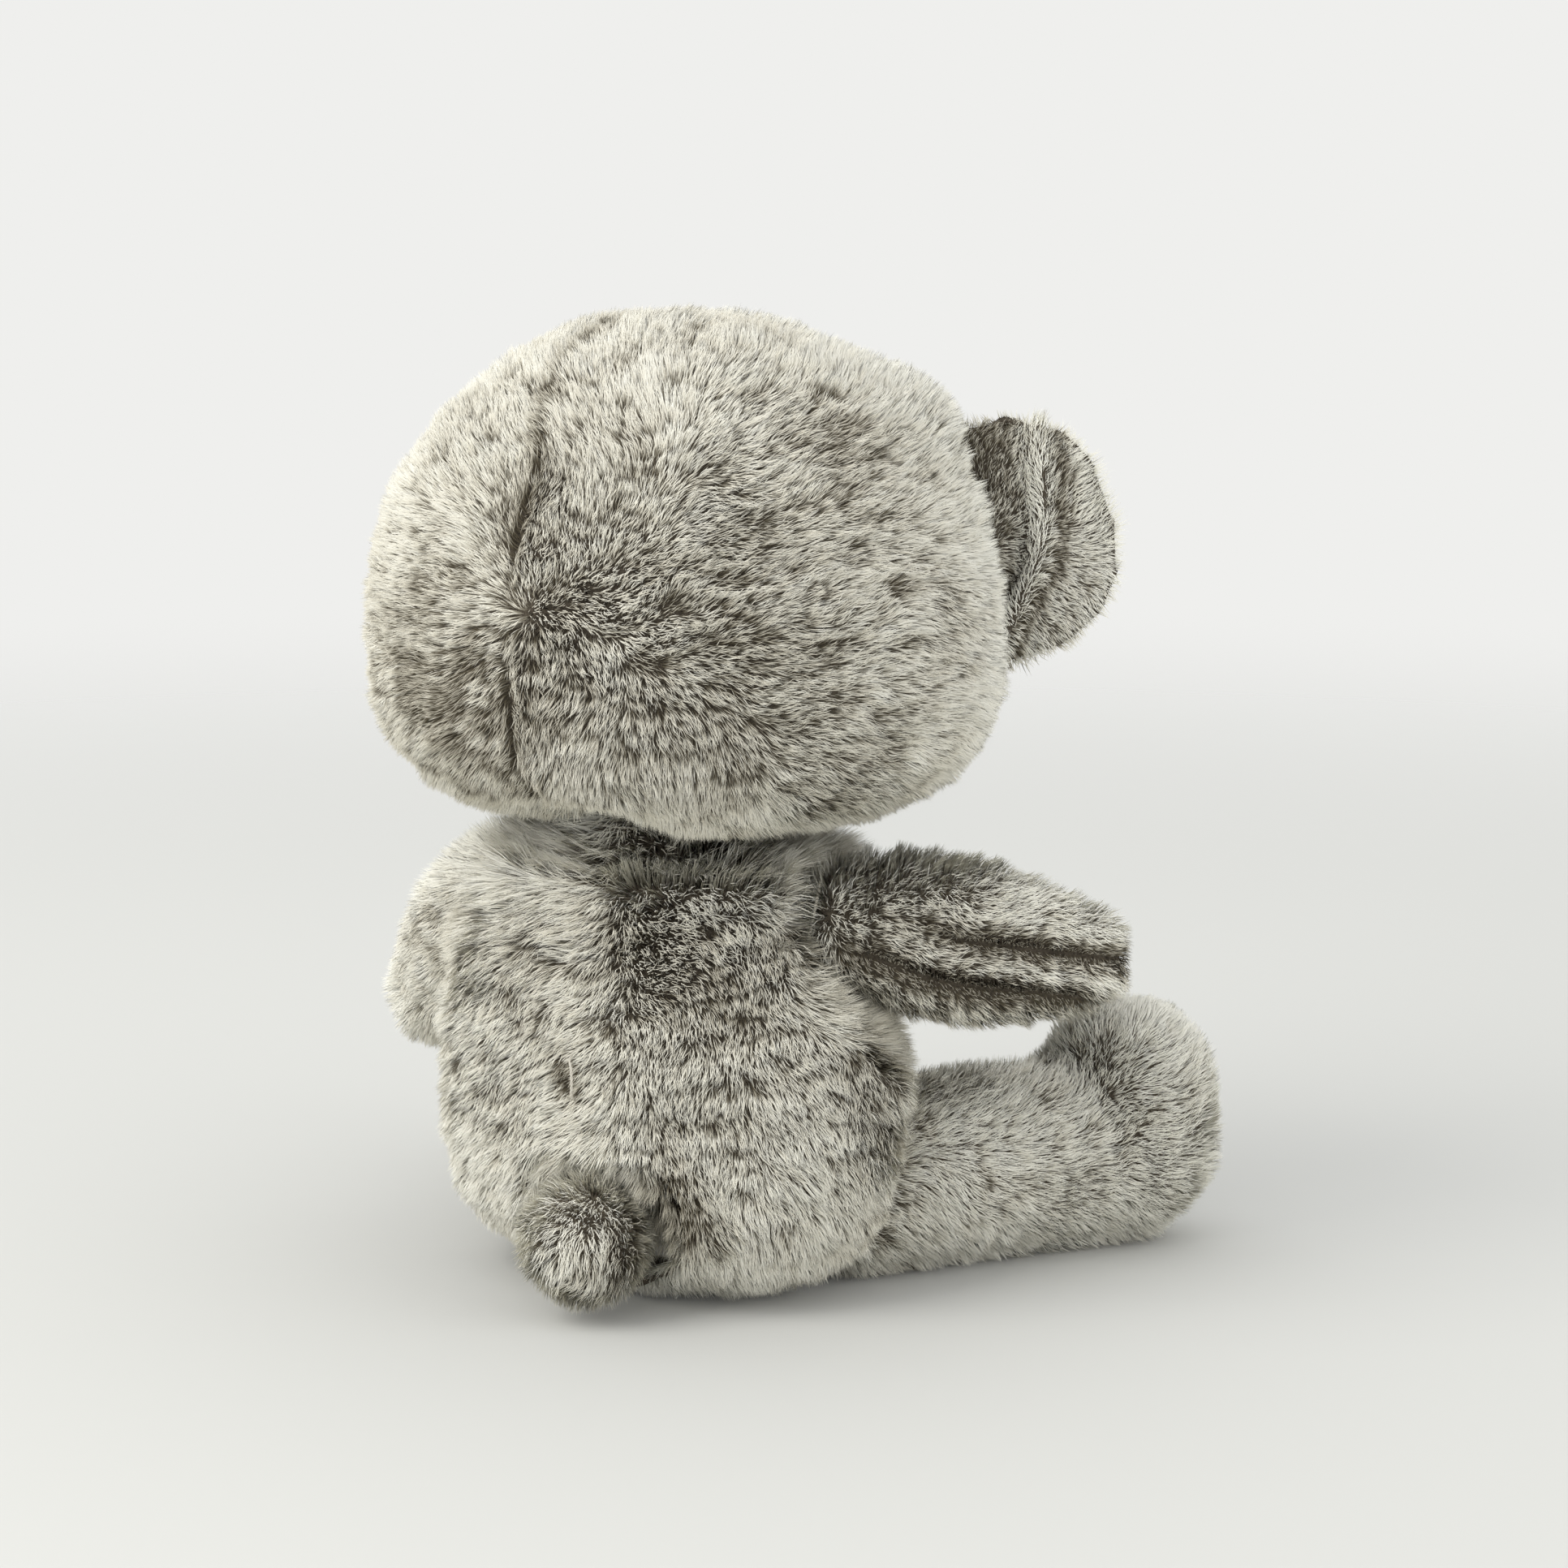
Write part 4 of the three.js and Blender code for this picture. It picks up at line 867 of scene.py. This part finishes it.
def arm_look(side):
    measure = arm_grooves(side)

    def look(place, out):
        above, share, t = measure(place)
        nap = np.tile(ARM_ALONG[side], (len(place), 1)) - 0.3 * UP
        # Painted shade and light: the pile is darker toward the shoulder and paler toward the tip; the left
        # arm, on the lamp's side, is paler.
        tone = 0.74 - 0.33 * ease(t, 10 * MM, 75 * MM) + 0.18 * mottled(place, 30 * MM, 14 * MM, 91)
        tone -= 0.25 if side == "left" else 0
        length = np.full(len(place), PILE_LENGTH)
        for height, depth in zip(above, share):
            dark = depth * hump(height, 4.2 * MM)
            parted = (depth * hump(height, 5 * MM))[:, None]
            # Darker pile in the grooves is painted shade; the paler lips beside them are painted light.
            tone += 0.95 * dark - 0.22 * depth * hump(np.abs(height) - 7.5 * MM, 2.5 * MM)
            length *= 1 - 0.6 * dark
            nap = nap * (1 - 0.7 * parted) + ARM_RISE[side] * np.sign(height)[:, None] * parted
        # Painted light: paler pile on the upper side of the arm's root, right at the joint, and where the arm
        # faces up near the shoulder.
        root = (1 - ease(t, 5 * MM, 40 * MM)) * ease(out[:, 2], -0.2, 0.5)
        tone -= 0.35 * root + 0.25 * (1 - ease(t, -8 * MM, 14 * MM))
        tone -= 0.45 * ease(out[:, 2], 0.1, 0.7) * ease(t, 0, 25 * MM)
        length *= 1 + 0.25 * root
        return nap, length, tone, 0.5 - 0.25 * root

    return look


def leg_look(sign):
    start, along = HIP * [sign, 1, 1], LEG_ALONG * [sign, 1, 1]

    def look(place, out):
        t = (place - start) @ along
        foot = ease(t, 100 * MM, 140 * MM)[:, None]
        nap = np.tile(along, (len(place), 1)) + foot * (0.7 * UP - 0.6 * along)
        hip = 1 - ease(t, 8 * MM, 42 * MM)
        # Painted shade and light: darker where the leg meets the body at the hip, and paler on its inner
        # side, which lifts the shade there.
        tone = 0.36 * hip - 0.2 * ease(t, 100 * MM, 130 * MM) + 0.26 * mottled(place, 30 * MM, 14 * MM, 93)
        inward = ease(-sign * out[:, 0], 0, 0.5)
        return nap, np.full(len(place), 0.95 * PILE_LENGTH), tone - 0.1 * inward, 0.4 - 0.2 * inward

    return look


def ear_fold(side):
    """For points on an ear: the distance past the soft fold on its back, the distance out from its root,
    and how far it is the back that they lie on."""
    root, outward = EAR_ROOT * [side, 1, 1], EAR_OUT * [side, 1, 1]
    upward, behind = EAR_UP * [side, 1, 1], EAR_BEHIND * [side, 1, 1]

    def measure(points, out):
        away = points - root
        t, height = away @ outward, away @ upward
        fold = np.interp(height, EAR_FOLD_HEIGHTS, EAR_FOLD_PLACES)
        return t - fold, t, ease(out @ behind, -0.1, 0.4)

    return measure


def ear_look(side):
    measure = ear_fold(side)
    root, upward = EAR_ROOT * [side, 1, 1], EAR_UP * [side, 1, 1]

    def look(place, out):
        past, t, back = measure(place, out)
        away = place - root
        nap = unit(away) + 0.15 * out
        rim = ease(t, 34 * MM, 52 * MM)
        ridge = hump(past, 2.2 * MM)
        streak = hump(past - 6.5 * MM, 3.5 * MM)
        hollow = 1 - ease(past, -11 * MM, -3 * MM)
        fading = 1 - ease(away @ upward, 16 * MM, 34 * MM)
        # Painted light and shade on the back of the ear: the ridge is paler, the hollow before it and the
        # band past the fold darker.
        tone = 0.24 + 0.3 * mottled(place, 20 * MM, 9 * MM, 95, 0.7) - 0.42 * rim
        tone = tone + back * (0.6 * hollow + 0.8 * streak - 1.5 * ridge * fading) - 0.25 * (1 - back)
        nap += (3 * ridge * back)[:, None] * upward
        beside = 1 - ease(past, -4 * MM, 0)
        length = PILE_LENGTH * (0.95 + 0.1 * rim - back * np.maximum(0.25 * (1 - rim), 0.3 * beside))
        return nap, length, tone, 0.5 + 0.6 * ridge * back

    return look


def tail_look(place, out):
    away = place - TAIL_ROOT
    nap = np.tile(TAIL_ALONG, (len(place), 1)) + np.array([0, 0, -0.6])
    tone = 0.14 + 0.25 * waves(place, 18 * MM, 97)
    # Painted shade: darker on the side of the tail away from the lamp and on its underside.
    tone += 0.4 * ease(-away[:, 0], 6 * MM, 20 * MM) + 0.1 * ease(-away[:, 2], 5 * MM, 22 * MM)
    return nap, np.full(len(place), PILE_LENGTH), tone, np.full(len(place), 0.5)


# ---- the bear


def slot_of(part):
    return "pale_plush" if part.startswith("leg") else "plush"


def skin(part, covers, filling, fill=0.75, inset=SKIN_INSET, **shape):
    """The knitted backing of one plush part, which has the name of its body."""
    piece = stuffed(f"{part}_backing", covers + filling, inset, **shape)
    piece.data.materials.append(MATERIALS["backing"])
    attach(piece, part)
    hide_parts(*covers)
    slot_of(part)
    return piece


def wadding(stuffing):
    """Loose fibre in a hollow, a little smaller than the hollow."""
    piece = stuffed(stuffing.replace("stuffing", "wadding"), [stuffing], 0.8 * MM, voxel=4 * MM, relax=3)
    piece.data.materials.append(MATERIALS["wadding"])
    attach(piece, stuffing.replace("_stuffing", ""))
    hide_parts(stuffing)


def seam_groove(piece, measure, depth, width):
    """Draws a seam into a skin where measure, a distance from the seam, is small."""
    points, normals = points_of(piece.data), normals_of(piece.data)
    reshape(piece, points - normals * (hump(measure(points), width) * depth)[:, None])


SKINS = {
    "torso": skin("torso", ["torso_cover"], ["torso_stuffing", "pellet_pouch"], lumps=1.3 * MM),
    "head": skin("head", ["head_cover", "face_panel", "muzzle_panel"], ["head_stuffing"], lumps=1.5 * MM),
}
for side in ("left", "right"):
    arm, leg, ear = f"arm_{side}", f"leg_{side}", f"ear_{side}"
    SKINS[arm] = skin(arm, [f"arm_cover_{side}"], [f"arm_stuffing_{side}"], voxel=2.5 * MM, relax=3)
    covers = [f"leg_cover_{side}", f"foot_sole_{side}"]
    SKINS[leg] = skin(leg, covers, [f"leg_stuffing_{side}"], voxel=2.5 * MM, relax=4)
    covers = [f"ear_front_{side}", f"ear_back_{side}"]
    SKINS[ear] = skin(ear, covers, [], fill=0.4, inset=4.5 * MM, voxel=2 * MM, relax=2)
SKINS["tail"] = skin("tail", ["tail_cover"], ["tail_stuffing"], voxel=2 * MM, relax=2)

head_points = points_of(SKINS["head"].data)
plump = MUZZLE_PLUMP * muzzle_share(head_points)
for sign in (1, -1):
    plump += OVER_EAR_PLUMP * near(head_points, OVER_EAR * [sign, 1, 1], OVER_EAR_REACH)
reshape(SKINS["head"], head_points + normals_of(SKINS["head"].data) * plump[:, None])

gathered = near(head_points, HEAD_PUCKER, HEAD_PUCKER_SIZE)
reshape(SKINS["head"], points_of(SKINS["head"].data) + np.outer(gathered, HEAD_PUCKER_LIFT))
seam_groove(SKINS["head"], head_seam, HEAD_SEAM_DEPTH, SEAM_WIDTH)
seam_groove(SKINS["torso"], lambda p: np.where(p[:, 1] > 0, p[:, 0], 1), BACK_SEAM_DEPTH, SEAM_WIDTH)
for side in ("left", "right"):
    piece = SKINS[f"arm_{side}"]
    points, normals = points_of(piece.data), normals_of(piece.data)
    above, share, _ = arm_grooves(side)(points)
    for height, depth in zip(above, share):
        points -= normals * (ARM_GROOVE_DRAWN_IN * depth * hump(height, ARM_GROOVE_WIDTH))[:, None]
    reshape(piece, points)

for number, side in enumerate(("left", "right")):
    piece = SKINS[f"ear_{side}"]
    past, _, behind = ear_fold(1 - 2 * number)(points_of(piece.data), normals_of(piece.data))
    rise = EAR_RIDGE * hump(past, EAR_RIDGE_WIDTH)
    rise -= EAR_HOLLOW * hump(past - EAR_HOLLOW_PLACE, EAR_HOLLOW_WIDTH)
    reshape(piece, points_of(piece.data) + normals_of(piece.data) * (rise * behind)[:, None])

trees = {}
for part, piece in SKINS.items():
    points = points_of(piece.data)
    tree = BVHTree.FromObject(piece, bpy.context.evaluated_depsgraph_get())
    trees[part] = (tree, points.min(axis=0), points.max(axis=0))

WHOLE = {
    "torso": filled_out(["torso_cover"]),
    "head": filled_out(["head_cover", "face_panel"]),
}
LOOKS = {
    "torso": (torso_look, UP, 11),
    "head": (head_look, UP, 12),
    "tail": (tail_look, TAIL_ALONG, 13),
}
for number, side in enumerate(("left", "right")):
    sign = 1 - 2 * number
    LOOKS[f"arm_{side}"] = (arm_look(side), ARM_ALONG[side], 20 + number)
    LOOKS[f"leg_{side}"] = (leg_look(sign), LEG_ALONG * [sign, 1, 1], 30 + number)
    LOOKS[f"ear_{side}"] = (ear_look(sign), EAR_OUT * [sign, 1, 1], 40 + number)
for part, (look, grain, seed) in LOOKS.items():
    others = [trees[other] for other in trees if other != part]
    for piece in grown(part, SKINS[part], look, grain, seed, others, WHOLE.get(part)):
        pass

for part in ("torso", "head", "tail"):
    wadding(f"{part}_stuffing")
for limb in ("arm", "leg"):
    for side in ("left", "right"):
        wadding(f"{limb}_stuffing_{side}")


def dressed(piece, body, node_name, finish):
    """Gives a new piece its material and body, and hides the CAD node that it takes the place of."""
    piece.data.materials.clear()
    piece.data.materials.append(MATERIALS[finish])
    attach(piece, body)
    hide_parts(node_name)
    return piece


for side in ("left", "right"):
    eye = button(f"eye_button_{side}", EYES[side], EYE_OUT[side], EYE_RADIUS, EYE_RADIUS, EYE_DOME, EYE_SHANK)
    dressed(eye, "head", f"eye_{side}", "eye")
nose = button(
    "nose_button", NOSE, NOSE_OUT, NOSE_HALF_WIDTH, NOSE_HALF_HEIGHT, NOSE_DOME, NOSE_SHANK, taper=0.35
)
dressed(nose, "head", "nose", "nose")

under_nose = [muzzle_point(0, height) for height in np.linspace(*MOUTH_LINE, 20)]
smile = [
    muzzle_point(MOUTH_HALF_ANGLE * share, MOUTH_LINE[1] + MOUTH_CORNER_LIFT * share**2)
    for share in np.linspace(-1, 1, 40)
]
mouth = spun_thread("mouth_embroidery", [under_nose, smile], MOUTH_THREAD)
dressed(mouth, "head", "mouth_stitch", "black_thread")



def on_back(aside, proud, height):
    """A point over the skin of the back."""
    spot = trees["torso"][0].ray_cast(Vector((aside, BEHIND_ALL, height)), Vector((0, -1, 0)))[0]
    return [spot.x, spot.y + proud, spot.z]


zigzag = [
    on_back(CLOSING_HALF_WIDTH * (1, 1, -1, -1)[number % 4], CLOSING_THREAD, height)
    for number, height in enumerate(np.linspace(CLOSING_LOW, CLOSING_HIGH, CLOSING_STITCHES * 2))
]
slack = [on_back(*row) for row in OPENING_LOOP]
closing = spun_thread("closing_ladder_stitch", [zigzag, rounded(slack)], CLOSING_THREAD)
dressed(closing, "torso", "back_closing_stitch", "thread")

for joint in ("neck", "shoulder_left", "shoulder_right", "hip_left", "hip_right"):
    place, _, side = joint.partition("_")
    suffix = f"_{side}" if side else ""
    node_name = f"{place}_seam_thread{suffix}"
    points = points_of(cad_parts[node_name].data)
    centre = (points.min(axis=0) + points.max(axis=0)) / 2 if place == "neck" else points.mean(axis=0)
    first, second = np.linalg.svd(points - centre, full_matrices=False)[2][:2]
    radius = np.linalg.norm(points - centre, axis=1).mean() - LOOP_DRAWN_IN
    turns = np.linspace(0, 2 * math.pi, 90)
    ring = [centre + radius * (math.cos(turn) * first + math.sin(turn) * second) for turn in turns]
    stitches = spun_thread(f"{joint}_ladder_thread", [ring], CLOSING_THREAD)
    dressed(stitches, f"{place}_seam{suffix}", node_name, "thread")

CAD_FINISHES = (  # the first word that a CAD node's name has in it, and its material
    ("washer", "washer"),
    ("eye", "eye"),
    ("nose", "nose"),
    ("mouth", "black_thread"),
    ("thread", "thread"),
    ("stitch", "thread"),
    ("pouch", "pouch"),
    ("stuffing", "wadding"),
    ("", "backing"),
)
for name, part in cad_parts.items():
    part.data.materials.clear()
    part.data.materials.append(MATERIALS[next(finish for word, finish in CAD_FINISHES if word in name)])


# ---- view, floor and light

right = Vector((math.cos(VIEW_AZIMUTH), math.sin(VIEW_AZIMUTH), 0))
level_back = Vector((math.sin(VIEW_AZIMUTH), -math.cos(VIEW_AZIMUTH), 0))
back = level_back * math.cos(VIEW_ELEVATION) + Vector((0, 0, math.sin(VIEW_ELEVATION)))
middle = Vector((0, 0, VIEW_MIDDLE_HEIGHT)) + right * VIEW_MIDDLE_ASIDE

camera = bpy.data.objects.new("camera", bpy.data.cameras.new("camera"))
bpy.context.scene.collection.objects.link(camera)
camera.data.lens = VIEW_LENS
camera.data.sensor_width = 36
camera.location = middle + back * VIEW_DISTANCE
camera.rotation_mode = "QUATERNION"
camera.rotation_quaternion = (-back).to_track_quat("-Z", "Y")
bpy.context.scene.camera = camera


def floor():
    """A pale floor that fades out, with a little light of its own where the camera sees it."""
    bpy.ops.object.select_all(action="DESELECT")
    bpy.ops.mesh.primitive_circle_add(vertices=96, radius=FLOOR_RADIUS, fill_type="NGON", location=(0, 0, 0))
    piece = bpy.context.object
    piece.name = "floor"
    made, tree, shader = material("floor_paint", 0.9)
    shader.inputs["Base Color"].default_value = srgb(206, 206, 201)
    far = node(tree, "ShaderNodeVectorMath", {0: object_place(tree)}, operation="LENGTH").outputs["Value"]
    fading = {"Value": far, **FLOOR_FADE}
    fade = node(tree, "ShaderNodeMapRange", fading, interpolation_type="SMOOTHSTEP")
    seen = node(tree, "ShaderNodeLightPath").outputs["Is Camera Ray"]
    glow = node(tree, "ShaderNodeMath", {0: seen, 1: FLOOR_GLOW}, operation="MULTIPLY")
    shader.inputs["Emission Color"].default_value = (1, 1, 0.985, 1)
    tree.links.new(glow.outputs[0], shader.inputs["Emission Strength"])
    tree.links.new(fade.outputs[0], shader.inputs["Alpha"])
    piece.data.materials.append(made)


floor()


def lamp(name, place, power, size, colour):
    light = bpy.data.lights.new(name, "AREA")
    light.energy = power
    light.size = size
    light.color = colour
    made = bpy.data.objects.new(name, light)
    bpy.context.scene.collection.objects.link(made)
    made.location = place
    made.rotation_mode = "QUATERNION"
    made.rotation_quaternion = (place - LAMP_AIM).to_track_quat("Z", "Y")


key_place = -right * 1.55 + level_back * 0.95 + Vector((0, 0, 1.6))
fill_place = right * 1.6 + level_back * 1.1 + Vector((0, 0, 0.7))
lamp("window_light", key_place, KEY_POWER, KEY_SIZE, (1, 0.985, 0.95))
lamp("white_board", fill_place, FILL_POWER, FILL_SIZE, (1, 0.99, 0.96))

world = bpy.data.worlds.new("studio")
bpy.context.scene.world = world
world.use_nodes = True
tree = world.node_tree
around = tree.nodes["Background"]
around.inputs["Color"].default_value = (0.97, 0.98, 1.0, 1)
around.inputs["Strength"].default_value = 1.0
wall = node(tree, "ShaderNodeBackground", {"Color": srgb(239, 239, 237), "Strength": 1.0})
seen = node(tree, "ShaderNodeLightPath").outputs["Is Camera Ray"]
both = node(tree, "ShaderNodeMixShader", {0: seen, 1: around.outputs[0], 2: wall.outputs[0]})
tree.links.new(both.outputs[0], tree.nodes["World Output"].inputs["Surface"])

bpy.context.scene.view_settings.view_transform = "Standard"
